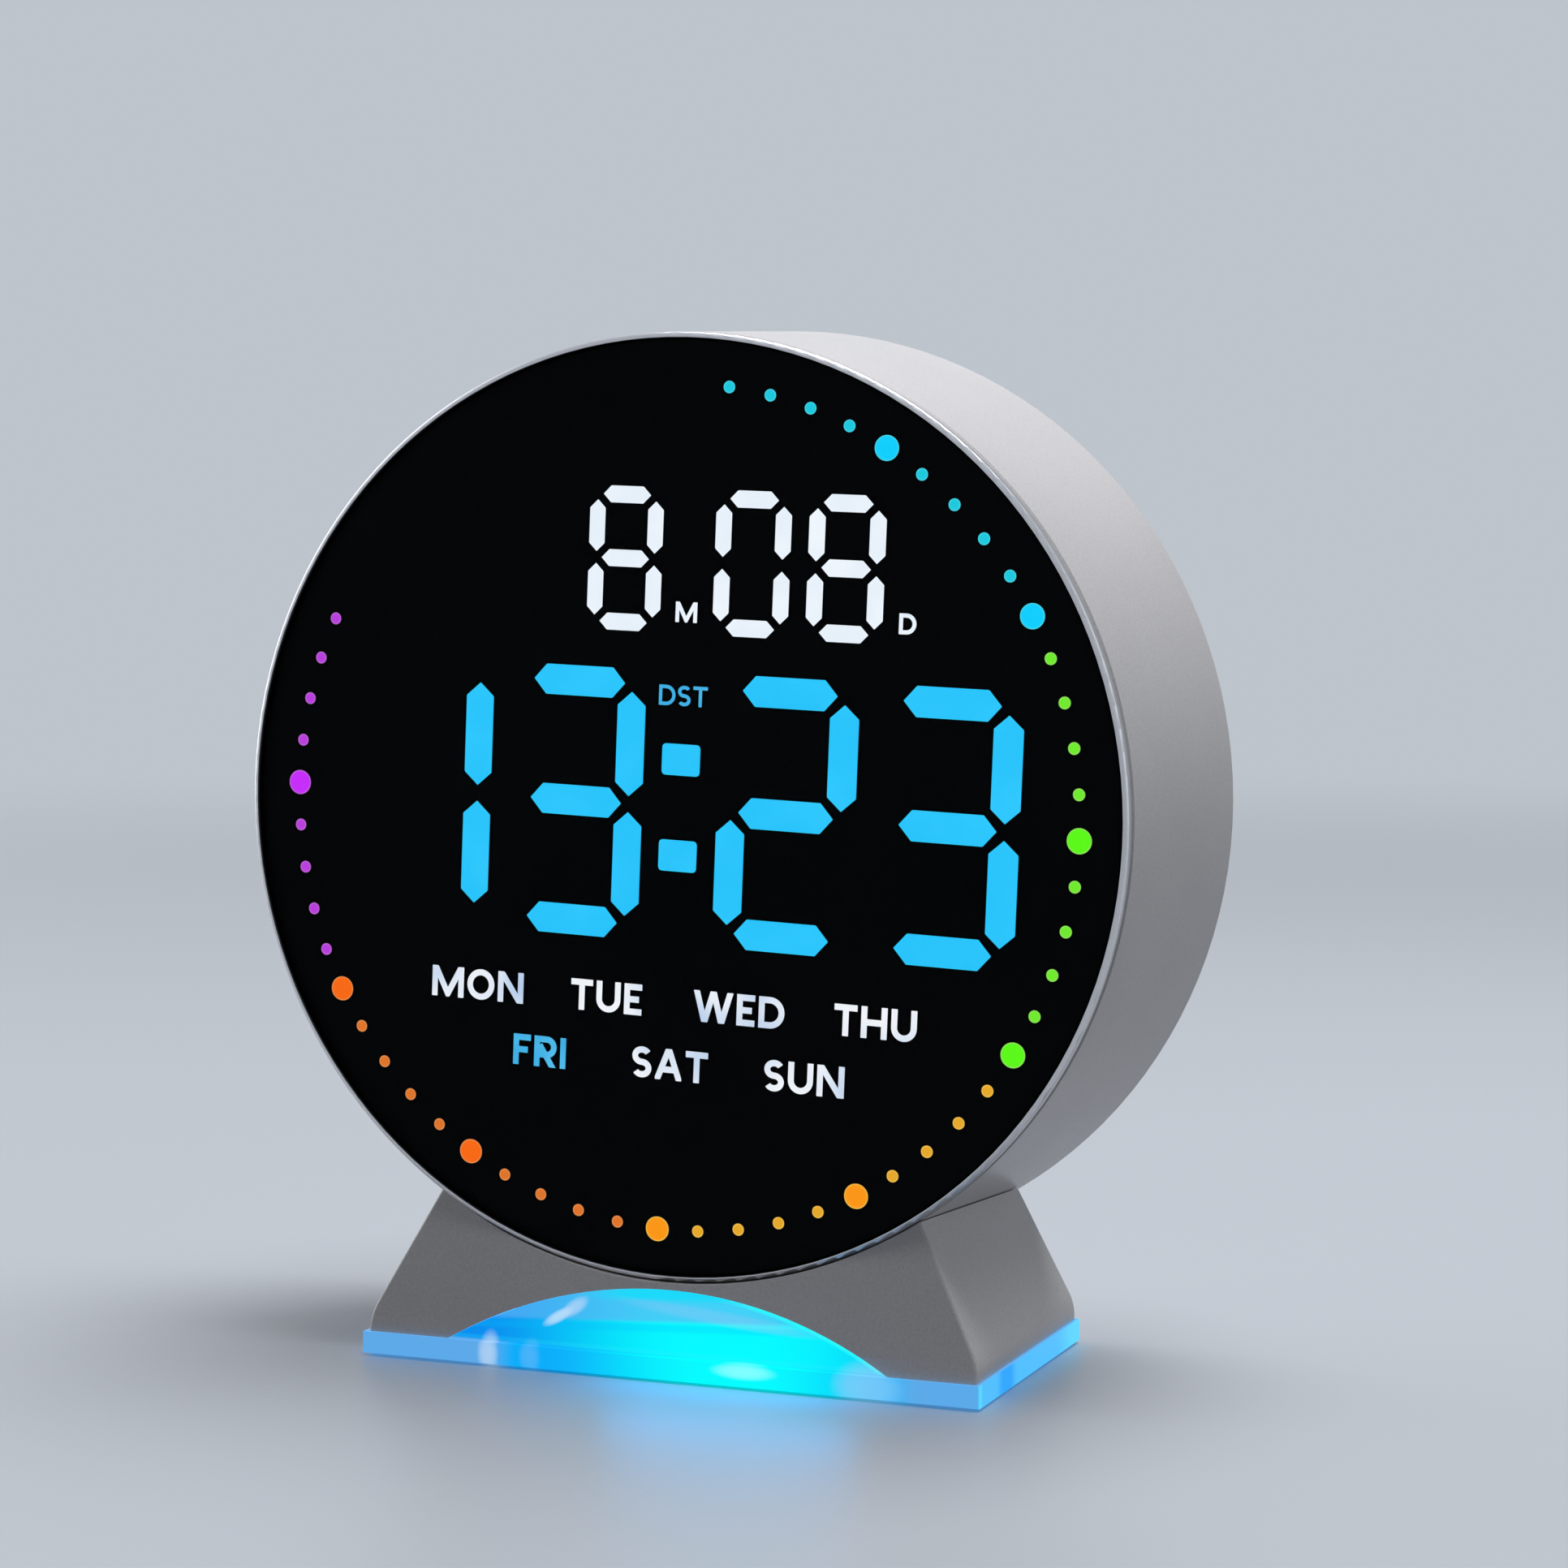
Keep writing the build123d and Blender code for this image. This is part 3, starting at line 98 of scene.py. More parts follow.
def rgb(red, green, blue):
    """A colour as a screen shows it, 0 to 255, as linear light for a shader, by the sRGB curve."""
    shares = [part / 255 for part in (red, green, blue)]
    linear = [s / 12.92 if s <= 0.04045 else ((s + 0.055) / 1.055) ** 2.4 for s in shares]
    return (*linear, 1.0)


print("grey 128 is", round(rgb(128, 128, 128)[0], 3), "in linear light")

# %% [markdown]
# ## Helpers for what a surface shows
# A finish needs to know where on the clock a point is, to blend two colours there and to raise the
# surface a little. An image wrapped round each solid could carry all that, but it would blur close
# up. These helpers work it out from the point's own place, so it stays sharp at any size.


# %% Helpers: materials, colours and relief
def node_of(tree, kind):
    """The node of this kind that a new material or world comes with."""
    return next(node for node in tree.nodes if node.type == kind)


def start_material(name, **plain):
    """A material, its network, and its shader's sockets with the plain values already set."""
    material = bpy.data.materials.new(name)
    material.use_nodes = True
    sockets = node_of(material.node_tree, "BSDF_PRINCIPLED").inputs
    set_plain(sockets, plain)
    return material, material.node_tree, sockets


def shaded_point(tree):
    """The point being shaded, in metres in the clock's own frame, and its X, Y and Z."""
    coordinates = tree.nodes.new("ShaderNodeTexCoord")
    split = tree.nodes.new("ShaderNodeSeparateXYZ")
    tree.links.new(coordinates.outputs["Object"], split.inputs[0])
    return coordinates.outputs["Object"], split.outputs


def blend_colours(tree, share, first, second):
    """The first colour where the share is 0, and the second where it is 1."""
    node = tree.nodes.new("ShaderNodeMix")
    node.data_type = "RGBA"
    feed(tree, share, node.inputs["Factor"])
    feed(tree, first, node.inputs["A"])
    feed(tree, second, node.inputs["B"])
    return node.outputs["Result"]


def bump(tree, height, distance, facing=None):
    """Relief standing on the mesh's own normal, or on the one in facing."""
    node = tree.nodes.new("ShaderNodeBump")
    node.inputs["Distance"].default_value = distance
    tree.links.new(height, node.inputs["Height"])
    if facing:
        tree.links.new(facing, node.inputs["Normal"])
    return node.outputs["Normal"]


print("materials before dressing:", len(bpy.data.materials))

# %% [markdown]
# ## A shared effect: fine grain
# Sprayed silver paint and moulded plastic both have a grain far finer than a millimetre, over slow
# changes of tone a few centimetres wide. Every material could have its own noise, but a node group
# is built once and used by all. It hands out masks only, so each material decides what the grain
# does to its own colour, roughness and height.


# %% Helpers: node groups
def new_group(name, inputs, outputs):
    """An empty group with named sockets, and its two ends to wire between."""
    group = bpy.data.node_groups.new(name, "ShaderNodeTree")
    for title, kind, default in inputs:
        socket = group.interface.new_socket(title, in_out="INPUT", socket_type=kind)
        if default is not None:
            socket.default_value = default
    for title, kind in outputs:
        group.interface.new_socket(title, in_out="OUTPUT", socket_type=kind)
    given = group.nodes.new("NodeGroupInput").outputs
    made = group.nodes.new("NodeGroupOutput").inputs
    return group, given, made


def add_group(tree, group, point, **plain):
    """Place a group in a material, with its point and plain values, and hand back its outputs."""
    node = tree.nodes.new("ShaderNodeGroup")
    node.node_tree = group
    tree.links.new(point, node.inputs["Vector"])
    set_plain(node.inputs, plain)
    return node.outputs


# %% Node group: fine grain
GRAIN_SCALE = 2500.0
TONE_SCALE = 18.0


def noise(tree, vector, scale, detail, roughness):
    """Noise from 0 to 1. More detail adds finer layers, and roughness makes them stronger."""
    node = tree.nodes.new("ShaderNodeTexNoise")
    feed(tree, vector, node.inputs["Vector"])
    feed(tree, scale, node.inputs["Scale"])
    set_plain(node.inputs, {"Detail": detail, "Roughness": roughness})
    return node.outputs["Fac"]


def build_grain_group():
    group, given, made = new_group(
        "fine_grain",
        [("Vector", "NodeSocketVector", None), ("Grain Scale", "NodeSocketFloat", GRAIN_SCALE),
         ("Tone Scale", "NodeSocketFloat", TONE_SCALE)],
        [("Grain", "NodeSocketFloat"), ("Tone", "NodeSocketFloat")])
    grain = noise(group, given["Vector"], given["Grain Scale"], detail=3.0, roughness=0.6)
    tone = noise(group, given["Vector"], given["Tone Scale"], detail=2.0, roughness=0.5)
    group.links.new(grain, made["Grain"])
    group.links.new(tone, made["Tone"])
    return group


grain_group = build_grain_group()


def add_grain(tree, point, grain_scale, tone_scale=TONE_SCALE):
    """The two masks of the grain group, at these scales."""
    made = add_group(tree, grain_group, point, Grain_Scale=grain_scale, Tone_Scale=tone_scale)
    return made["Grain"], made["Tone"]


print("group", grain_group.name, "gives", [s.name for s in grain_group.interface.items_tree])

# %% [markdown]
# ## Paint and plastic from one recipe
# Most pieces are a colour with grain on it: silver paint, grey plastic, black plastic, board
# lacquer, rubber and plated steel. Each could have a network of its own, but they would differ only
# in their numbers. So one function takes the two tones that the grain moves between, how rough the
# surface is and how deep the grain stands, which keeps each finish to one readable line.


# %% A grained finish, and the silver paint
GRAIN_SHARE, TONE_SHARE = 0.65, 0.35
DARK_UNTIL, LIGHT_FROM = 0.32, 0.68
ROUGHNESS_SPREAD = 0.06
GRAIN_DEPTH = 0.02 * MM
METAL_GRAIN_SCALE = 2600.0


def grained(name, dark, light, roughness, depth=GRAIN_DEPTH, grain_scale=GRAIN_SCALE,
            facing_of=None, **plain):
    """Grain between two tones. facing_of works out a normal for it to stand on, where given."""
    material, tree, sockets = start_material(name, **plain)
    point, along = shaded_point(tree)
    grain, tone = add_grain(tree, point, grain_scale)
    mixed = maths(tree, "ADD", maths(tree, "MULTIPLY", grain, GRAIN_SHARE),
                  maths(tree, "MULTIPLY", tone, TONE_SHARE))
    share = ramp_between(tree, mixed, DARK_UNTIL, LIGHT_FROM)
    feed(tree, blend_colours(tree, share, dark, light), sockets["Base Color"])
    rough = between(tree, grain, roughness - ROUGHNESS_SPREAD, roughness + ROUGHNESS_SPREAD)
    feed(tree, rough, sockets["Roughness"])
    facing = facing_of(tree, along) if facing_of else None
    feed(tree, bump(tree, grain, depth, facing), sockets["Normal"])
    return material


SILVER = dict(dark=rgb(190, 188, 190), light=rgb(208, 206, 208), roughness=0.52,
              depth=0.006 * MM, grain_scale=METAL_GRAIN_SCALE,
              Metallic=0.08, Coat_Weight=0.4, Coat_Roughness=0.25)
silver = grained("silver_paint", **SILVER)
print(silver.name, "has", len(silver.node_tree.nodes), "nodes")

# %% [markdown]
# ## The rim
# The rim round the glass is a turned metal ring. Its lip in front is painted paler than the band
# behind
# it: a painted highlight along the lip, and painted shade on the band. Two materials would need its
# faces sorted into two lots. It is simpler to let the colour change with depth, over the third of a
# millimetre where the lip ends.

# %% Rim finish
LIP_DEPTH = 0.6 * MM
LIP_FADE = 0.3 * MM
RIM_ROUGHNESS = (0.26, 0.38)
RIM_GRAIN_DEPTH = 0.004 * MM


def build_rim():
    material, tree, sockets = start_material("rim_silver", Metallic=0.85)
    point, along = shaded_point(tree)
    grain, _ = add_grain(tree, point, METAL_GRAIN_SCALE)
    # The lip's paler colour is a painted highlight, and the band's darker colour is painted shade.
    lip = blend_colours(tree, grain, rgb(212, 212, 215), rgb(226, 226, 229))
    shaded_band = blend_colours(tree, grain, rgb(168, 167, 170), rgb(182, 181, 184))
    lip_end = rim_low.y + LIP_DEPTH
    behind = ramp_between(tree, along["Y"], lip_end, lip_end + LIP_FADE)
    feed(tree, blend_colours(tree, behind, lip, shaded_band), sockets["Base Color"])
    feed(tree, between(tree, grain, *RIM_ROUGHNESS), sockets["Roughness"])
    feed(tree, bump(tree, grain, RIM_GRAIN_DEPTH), sockets["Normal"])
    return material


rim_silver = build_rim()
print("the rim's lip ends at", round((rim_low.y + LIP_DEPTH) / MM, 2), "mm")

# %% [markdown]
# ## A wall without a seam
# The drum's side wall is one smooth cone, but its solid comes as narrow facets, and where the first
# one meets the last the light breaks along a faint line. So the wall's paint works out which way
# the cone faces from the point's own place, and stands its grain on that. The rounded edges keep
# their own normals.


# %% Helpers: distances
def squares_added(tree, first, second):
    """The squares of two numbers, added."""
    return maths(tree, "MULTIPLY_ADD", first, first, maths(tree, "MULTIPLY", second, second))


def distance_from_middle(tree, across, up):
    """How far a point is from a middle, from how far it lies across and up from there."""
    return maths(tree, "SQRT", squares_added(tree, across, up))


def axis_distance(tree, along):
    """How far the point being shaded is from the axis through the lens."""
    up = maths(tree, "SUBTRACT", along["Z"], lens_middle.z)
    return distance_from_middle(tree, along["X"], up)


# %% Where the drum's wall is
WALL_FLARE = math.radians(3.2)
WALL_SLOPE = math.tan(WALL_FLARE)
EDGE_ROUND = 0.5 * MM
EDGE_BLEND = 0.05 * MM
FACET_DEPTH = 0.1 * MM
drum_low, drum_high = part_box("drum_housing")
wall_front, wall_back = drum_low.y + EDGE_ROUND, drum_high.y - EDGE_ROUND


def mask_wall(tree, along, radius):
    """1 on the outside of the wall, 0 on its rounded edges and everywhere else."""
    cone = maths(tree, "MULTIPLY_ADD", along["Y"], WALL_SLOPE, drum_high.x - WALL_SLOPE * wall_back)
    off_cone = maths(tree, "ABSOLUTE", maths(tree, "SUBTRACT", radius, cone))
    on_cone = ramp_between(tree, off_cone, 2 * FACET_DEPTH, FACET_DEPTH)
    past_front = ramp_between(tree, along["Y"], wall_front, wall_front + EDGE_BLEND)
    before_back = ramp_between(tree, along["Y"], wall_back, wall_back - EDGE_BLEND)
    return maths(tree, "MULTIPLY", on_cone, maths(tree, "MULTIPLY", past_front, before_back))


print("the wall runs from", round(wall_front / MM, 1), "to", round(wall_back / MM, 1), "mm")


# %% Drum paint
def wall_facing(tree, along):
    """The cone's normal on the outside of the wall, and the mesh's normal everywhere else."""
    radius = axis_distance(tree, along)
    outward = tree.nodes.new("ShaderNodeCombineXYZ")
    feed(tree, along["X"], outward.inputs["X"])
    feed(tree, maths(tree, "MULTIPLY", radius, -WALL_SLOPE), outward.inputs["Y"])
    feed(tree, maths(tree, "SUBTRACT", along["Z"], lens_middle.z), outward.inputs["Z"])
    in_room = tree.nodes.new("ShaderNodeVectorTransform")
    in_room.vector_type = "NORMAL"
    in_room.convert_from, in_room.convert_to = "OBJECT", "WORLD"
    tree.links.new(outward.outputs[0], in_room.inputs[0])
    mixed = tree.nodes.new("ShaderNodeMix")
    mixed.data_type = "VECTOR"
    feed(tree, mask_wall(tree, along, radius), mixed.inputs["Factor"])
    mesh_normal = tree.nodes.new("ShaderNodeNewGeometry").outputs["Normal"]
    tree.links.new(mesh_normal, mixed.inputs["A"])
    tree.links.new(in_room.outputs[0], mixed.inputs["B"])
    unit = tree.nodes.new("ShaderNodeVectorMath")
    unit.operation = "NORMALIZE"
    tree.links.new(mixed.outputs["Result"], unit.inputs[0])
    return unit.outputs[0]


drum_silver = grained("drum_paint", facing_of=wall_facing, **SILVER)
print(drum_silver.name, "has", len(drum_silver.node_tree.nodes), "nodes")

# %% [markdown]
# ## Plastic, rubber, boards and metal
# The rear cover and the buttons are moulded plastic and the feet are rubber. Inside are boards,
# chips, screws and cable, which show once the clock is taken apart. A flat grey would do for pieces
# that are seldom seen, but the recipe above makes a proper finish just as fast.

# %% The other grained finishes
rear_grey = grained("rear_plastic", rgb(176, 177, 180), rgb(194, 195, 198), 0.55,
                    depth=0.05 * MM, grain_scale=1500.0)
button_grey = grained("button_plastic", rgb(148, 149, 152), rgb(166, 167, 170), 0.40,
                      grain_scale=2200.0)
black_plastic = grained("black_plastic", rgb(18, 18, 19), rgb(34, 34, 36), 0.50,
                        grain_scale=1800.0)
white_plastic = grained("white_plastic", rgb(222, 222, 218), rgb(238, 238, 235), 0.50)
board_lacquer = grained("board_lacquer", rgb(16, 74, 42), rgb(28, 98, 56), 0.30,
                        grain_scale=900.0)
rubber = grained("foot_rubber", rgb(150, 151, 153), rgb(176, 177, 180), 0.75, depth=0.06 * MM)
steel = grained("plated_steel", rgb(176, 178, 182), rgb(206, 208, 212), 0.28, Metallic=1.0)
cable = grained("cable_grey", rgb(128, 129, 133), rgb(150, 151, 156), 0.55)
lamp_face = grained("lamp_face", rgb(226, 220, 184), rgb(244, 240, 212), 0.25)
print(len(bpy.data.materials), "materials so far")

# %% [markdown]
# ## The black front
# The front is a clear disc over a black print. A black disc with bright marks on it would look
# flat. So the disc is a real glass shader, and the windows behind it lie a little below its
# surface. Its reflections are kept faint, because the real front shows hardly any of the room. Its
# edge is blackened, so that the silver ring doesn't show through it. The print is almost black,
# with a trace of tone so that it isn't a hole.


# %% Front lens and printed film
LENS_BORDER = 0.3 * MM
BORDER_FADE = 0.03 * MM
PRINT_BLACK = dict(dark=rgb(2, 3, 5), light=rgb(5, 6, 8), roughness=0.45, Specular_IOR_Level=0.02)


def build_lens():
    material, tree, sockets = start_material(
        "lens_acrylic", Roughness=0.03, IOR=1.05, Transmission_Weight=1.0)
    point, along = shaded_point(tree)
    _, tone = add_grain(tree, point, grain_scale=900.0, tone_scale=8.0)
    tint = blend_colours(tree, tone, rgb(246, 248, 250), rgb(255, 255, 255))
    border_start = lens_radius - LENS_BORDER
    border = ramp_between(tree, axis_distance(tree, along), border_start,
                          border_start + BORDER_FADE)
    feed(tree, blend_colours(tree, border, tint, rgb(3, 4, 6)), sockets["Base Color"])
    return material


lens_clear = build_lens()
film_black = grained("black_film", **PRINT_BLACK)
print("the lens is clear to", round((lens_radius - LENS_BORDER) / MM, 1), "mm from its middle")

# %% [markdown]
# ## Lit windows
# A window is thin tinted print with a lamp behind it, so its colour comes from light, not from
# paint. The shader's emission carries it. A slow mottle keeps each one from being perfectly even,
# as the moulded light well behind it does on the real clock. Segments that aren't lit are the same
# black as the print round them.


# %% Digits, words and their glow
WINDOW_GRAIN_SCALE = 1600.0
MOTTLE_START, MOTTLE_FULL = 0.40, 0.75
WINDOW_ROUGHNESS = (0.4, 0.5)


def lit_window(name, colour, mottled, mottle_scale=90.0):
    """A glowing window in one colour, mottled with a second."""
    material, tree, sockets = start_material(name, Specular_IOR_Level=0.1, Emission_Strength=1.0)
    point, _ = shaded_point(tree)
    grain, tone = add_grain(tree, point, WINDOW_GRAIN_SCALE, mottle_scale)
    share = ramp_between(tree, tone, MOTTLE_START, MOTTLE_FULL)
    feed(tree, blend_colours(tree, share, colour, mottled), sockets["Emission Color"])
    unlit = blend_colours(tree, grain, rgb(14, 16, 20), rgb(24, 26, 30))
    feed(tree, unlit, sockets["Base Color"])
    feed(tree, between(tree, grain, *WINDOW_ROUGHNESS), sockets["Roughness"])
    return material


time_glow = lit_window("time_glow", rgb(36, 197, 252), rgb(44, 202, 255))
date_glow = lit_window("date_glow", rgb(234, 243, 251), rgb(244, 250, 255))
word_glow = lit_window("word_glow", rgb(243, 246, 250), rgb(178, 203, 234), mottle_scale=60.0)
marked_word_glow = lit_window("marked_word_glow", rgb(62, 176, 228), rgb(90, 194, 240),
                              mottle_scale=120.0)
unlit_print = grained("unlit_print", **PRINT_BLACK)
print("windows:", [m.name for m in (time_glow, date_glow, word_glow, marked_word_glow)])

# %% [markdown]
# ## Finding the ring of dots
# Sixty dots run round the glass, one for each second, and every fifth is large. The display sits a
# little turned in its body, so the ring's radius and turn aren't guessed: they are measured on the
# topmost dot, which isn't lit.


# %% Where the dots are
DOTS_PER_TURN = 60
DOTS_PER_LARGE = 5
DOT_STEP = 2 * math.pi / DOTS_PER_TURN
SMALL_DOT_RADIUS = 0.99 * MM
LARGE_DOT_RADIUS = 2.04 * MM
TOP_DOT_REACH = 2.5 * LARGE_DOT_RADIUS


def middle_of(values):
    """Halfway between the smallest and the largest."""
    return (min(values) + max(values)) / 2


unlit_corners = [vertex.co for vertex in nodes["second_dots_unlit"].data.vertices]
peak = max(unlit_corners, key=lambda corner: corner.z)
top_dot = [corner for corner in unlit_corners if (corner - peak).length < TOP_DOT_REACH]
top_dot_across = middle_of([corner.x for corner in top_dot])
top_dot_up = middle_of([corner.z for corner in top_dot]) - lens_middle.z
dot_ring_radius = math.hypot(top_dot_across, top_dot_up)
display_turn = math.atan2(top_dot_across, top_dot_up)
print("dot ring radius", dot_ring_radius, "turned", math.degrees(display_turn), "degrees")

# %% [markdown]
# ## A shared effect: the ring of dots
# Each colour of the ring holds small dots and large ones, and the small ones are duller with a
# brighter edge. Painting sixty dots one by one would be tedious. This group finds, for any point on
# the front, which dot it belongs to and how far from that dot's middle it is, using only the angle
# and the radius.


# %% Node group: dot profile
def build_dot_group():
    group, given, made = new_group(
        "dot_profile",
        [("Vector", "NodeSocketVector", None), ("Middle Height", "NodeSocketFloat", 0.0),
         ("Ring Radius", "NodeSocketFloat", 0.0), ("Step", "NodeSocketFloat", DOT_STEP),
         ("Large Every", "NodeSocketFloat", DOTS_PER_LARGE), ("Turn", "NodeSocketFloat", 0.0)],
        [("Large", "NodeSocketFloat"), ("Distance", "NodeSocketFloat")])
    split = group.nodes.new("ShaderNodeSeparateXYZ")
    group.links.new(given["Vector"], split.inputs[0])
    across = split.outputs["X"]
    up = maths(group, "SUBTRACT", split.outputs["Z"], given["Middle Height"])
    turn = maths(group, "SUBTRACT", maths(group, "ARCTAN2", across, up), given["Turn"])
    order = maths(group, "ROUND", maths(group, "DIVIDE", turn, given["Step"]))
    angle = maths(group, "MULTIPLY_ADD", order, given["Step"], given["Turn"])
    dot_across = maths(group, "MULTIPLY", maths(group, "SINE", angle), given["Ring Radius"])
    dot_up = maths(group, "MULTIPLY", maths(group, "COSINE", angle), given["Ring Radius"])
    distance = distance_from_middle(group, maths(group, "SUBTRACT", across, dot_across),
                                    maths(group, "SUBTRACT", up, dot_up))
    # The remainder is a whole number, and 0 for a large dot, so half tells them apart.
    remainder = maths(group, "FLOORED_MODULO", order, given["Large Every"])
    group.links.new(maths(group, "LESS_THAN", remainder, 0.5), made["Large"])
    group.links.new(distance, made["Distance"])
    return group


dot_group = build_dot_group()
print("group", dot_group.name, "gives", [s.name for s in dot_group.interface.items_tree])

# %% [markdown]
# ## Five colours of dots
# On the real clock the colour changes as the seconds go round. Each colour is a piece of its own
# here, so each gets one material, which asks the group above whether a point is in a large dot or a
# small one, and how near the dot's edge it is.

# %% Dot finishes
DOT_EDGE_FULL = 0.0875 * MM
DOT_EDGE_GONE = 0.2625 * MM


def lit_dots(name, small, large, edge_colour):
    material, tree, sockets = start_material(name, Specular_IOR_Level=0.05, Emission_Strength=1.0)
    point, _ = shaded_point(tree)
    dot = add_group(tree, dot_group, point, Middle_Height=lens_middle.z,
                    Ring_Radius=dot_ring_radius, Step=DOT_STEP, Large_Every=DOTS_PER_LARGE,
                    Turn=display_turn)
    radius = between(tree, dot["Large"], SMALL_DOT_RADIUS, LARGE_DOT_RADIUS)
    inward = maths(tree, "SUBTRACT", radius, dot["Distance"])
    edge = ramp_between(tree, inward, DOT_EDGE_GONE, DOT_EDGE_FULL)
    colour = blend_colours(tree, dot["Large"], small, large)
    feed(tree, blend_colours(tree, edge, colour, edge_colour), sockets["Emission Color"])
    grain, _ = add_grain(tree, point, WINDOW_GRAIN_SCALE)
    unlit = blend_colours(tree, grain, rgb(10, 12, 14), rgb(20, 22, 26))
    feed(tree, unlit, sockets["Base Color"])
    return material


# Each row is the colour of the small dots, of the large ones, and of the edge of both.
DOT_COLOURS = {
    "cyan": (rgb(24, 202, 222), rgb(10, 208, 254), rgb(70, 212, 232)),
    "green": (rgb(112, 236, 40), rgb(92, 250, 17), rgb(146, 226, 92)),
    "amber": (rgb(232, 170, 36), rgb(255, 153, 10), rgb(242, 192, 82)),
    "orange": (rgb(226, 118, 36), rgb(252, 106, 8), rgb(228, 144, 84)),
    "purple": (rgb(186, 62, 220), rgb(201, 43, 250), rgb(192, 104, 216)),
}
dot_finishes = {lit_dots("dots_" + colour, *tones): ("second_dots_" + colour,)
                for colour, tones in DOT_COLOURS.items()}
print(len(dot_finishes), "colours of dots")

# %% [markdown]
# ## The glowing base
# The base is one clear moulding lit from behind by a row of lamps. Light runs through it in layers
# and leaks out at its edges, strongest in the middle where the lamps are. Tracing that light would
# take minutes and come out noisy, so the layers are painted as light in the moulding's own frame: a
# bright core, paler bands by height, and pale patches where the moulding catches the room. Every
# height is measured from the solid, so the painted light moves with it.

# %% Light guide: where its light lies
ARCH_HALF_SPAN = 38.9 * MM
CORE_MIDDLE = 12 * MM
BAND_TILT = 0.048
SPOT_REACH = 1.9
arch_rise = guide_high.z - plate_top
arch_radius = (ARCH_HALF_SPAN**2 + arch_rise**2) / (2 * arch_rise)
plate_middle = (guide_low.z + plate_top) / 2

# A band is its middle, half its width, and the width of its soft edge.
HUMP_CORE = (CORE_MIDDLE, 5 * MM, 42 * MM)
PLATE_CORE = (CORE_MIDDLE, 4 * MM, 30 * MM)
PLATE_BLUE = (6 * MM, 32 * MM, 6 * MM)
CROWN_WIDTH = (2 * MM, 7 * MM, 13 * MM)
DIP_BAND = (plate_top + 4.4 * MM, 0.2 * MM, 0.7 * MM)
FOOT_LINE = (plate_top + 0.5 * MM, 0.2 * MM, 0.4 * MM)
SIDE_DEEP = (guide_low.y + 13.5 * MM, 1.5 * MM, 4 * MM)

# A ramp is where it starts and where it is full.
HUMP_START = (plate_top + 0.05 * MM, plate_top + 0.4 * MM)
UPPER_RISE = (plate_top + 5.0 * MM, plate_top + 5.9 * MM)
CROWN_RISE = (plate_top + 8.2 * MM, plate_top + 9.4 * MM)
ARCH_EDGE = (arch_radius - 0.8 * MM, arch_radius - 0.4 * MM)
ARCH_RIGHT = (6 * MM, 18 * MM)
SIDE_START = (guide_high.x - 0.3 * MM, guide_high.x - 0.1 * MM)
NEAR_CORNER = (guide_low.y + 1.6 * MM, guide_low.y + 0.8 * MM)
FAR_END = (guide_high.y - 14 * MM, guide_high.y - 3 * MM)
DRIFT = (0.3, 0.8)

# A spot is its middle and half its size, across and up, then its slope, strength and colour.
GUIDE_SPOTS = (
    ((-31.2 * MM, plate_middle), (1.6 * MM, 3.0 * MM), 0.0, 0.62, rgb(196, 222, 246)),
    ((-23.6 * MM, plate_middle), (1.6 * MM, 2.4 * MM), 0.0, 0.20, rgb(150, 200, 246)),
    ((35.8 * MM, plate_middle), (5.0 * MM, 3.4 * MM), 0.0, 0.55, rgb(150, 203, 246)),
    ((-19.2 * MM, plate_top + 4.9 * MM), (2.2 * MM, 0.9 * MM), 0.5, 0.75, rgb(200, 230, 252)),
    ((-16.4 * MM, plate_top + 6.6 * MM), (2.0 * MM, 1.2 * MM), 0.5, 0.60, rgb(190, 220, 248)),
    ((9.0 * MM, plate_top + 6.8 * MM), (15.0 * MM, 1.0 * MM), -0.09, 0.35, rgb(140, 196, 244)),
    ((14.5 * MM, plate_top - 1.1 * MM), (4.6 * MM, 1.1 * MM), 0.0, 0.70, rgb(150, 255, 255)),
)
print("the hump is", round(arch_rise / MM, 1), "mm high, its arch", round(arch_radius / MM, 1))

# %% [markdown]
# ## Painting the layers
# The light is built up as a glaze on pottery is, one thin colour over another. A layer is a mask
# that says where it lies, a strength and a colour. The front comes first, then the right-hand side,
# and last a slow drift of tone over everything, so that no part looks printed.


# %% Helpers: bands, spots and layers
def band(tree, value, middle, half, soft):
    """1 inside a band about a middle, fading to 0 over a soft edge."""
    away = maths(tree, "ABSOLUTE", maths(tree, "SUBTRACT", value, middle))
    return ramp_between(tree, away, half + soft, half)


def spot(tree, side, height, middle, halves, slope):
    """A soft oval patch in the front view, which may slope up to the right."""
    across = maths(tree, "SUBTRACT", side, middle[0])
    rise = maths(tree, "MULTIPLY", across, slope)
    up = maths(tree, "SUBTRACT", maths(tree, "SUBTRACT", height, middle[1]), rise)
    squares = squares_added(tree, maths(tree, "DIVIDE", across, halves[0]),
                            maths(tree, "DIVIDE", up, halves[1]))
    return ramp_between(tree, squares, SPOT_REACH, 0.0)


def layer(tree, colour, mask, strength, over):
    """A colour laid over another, where the mask says and as strongly as the strength says."""
    return blend_colours(tree, maths(tree, "MULTIPLY", mask, strength), colour, over)


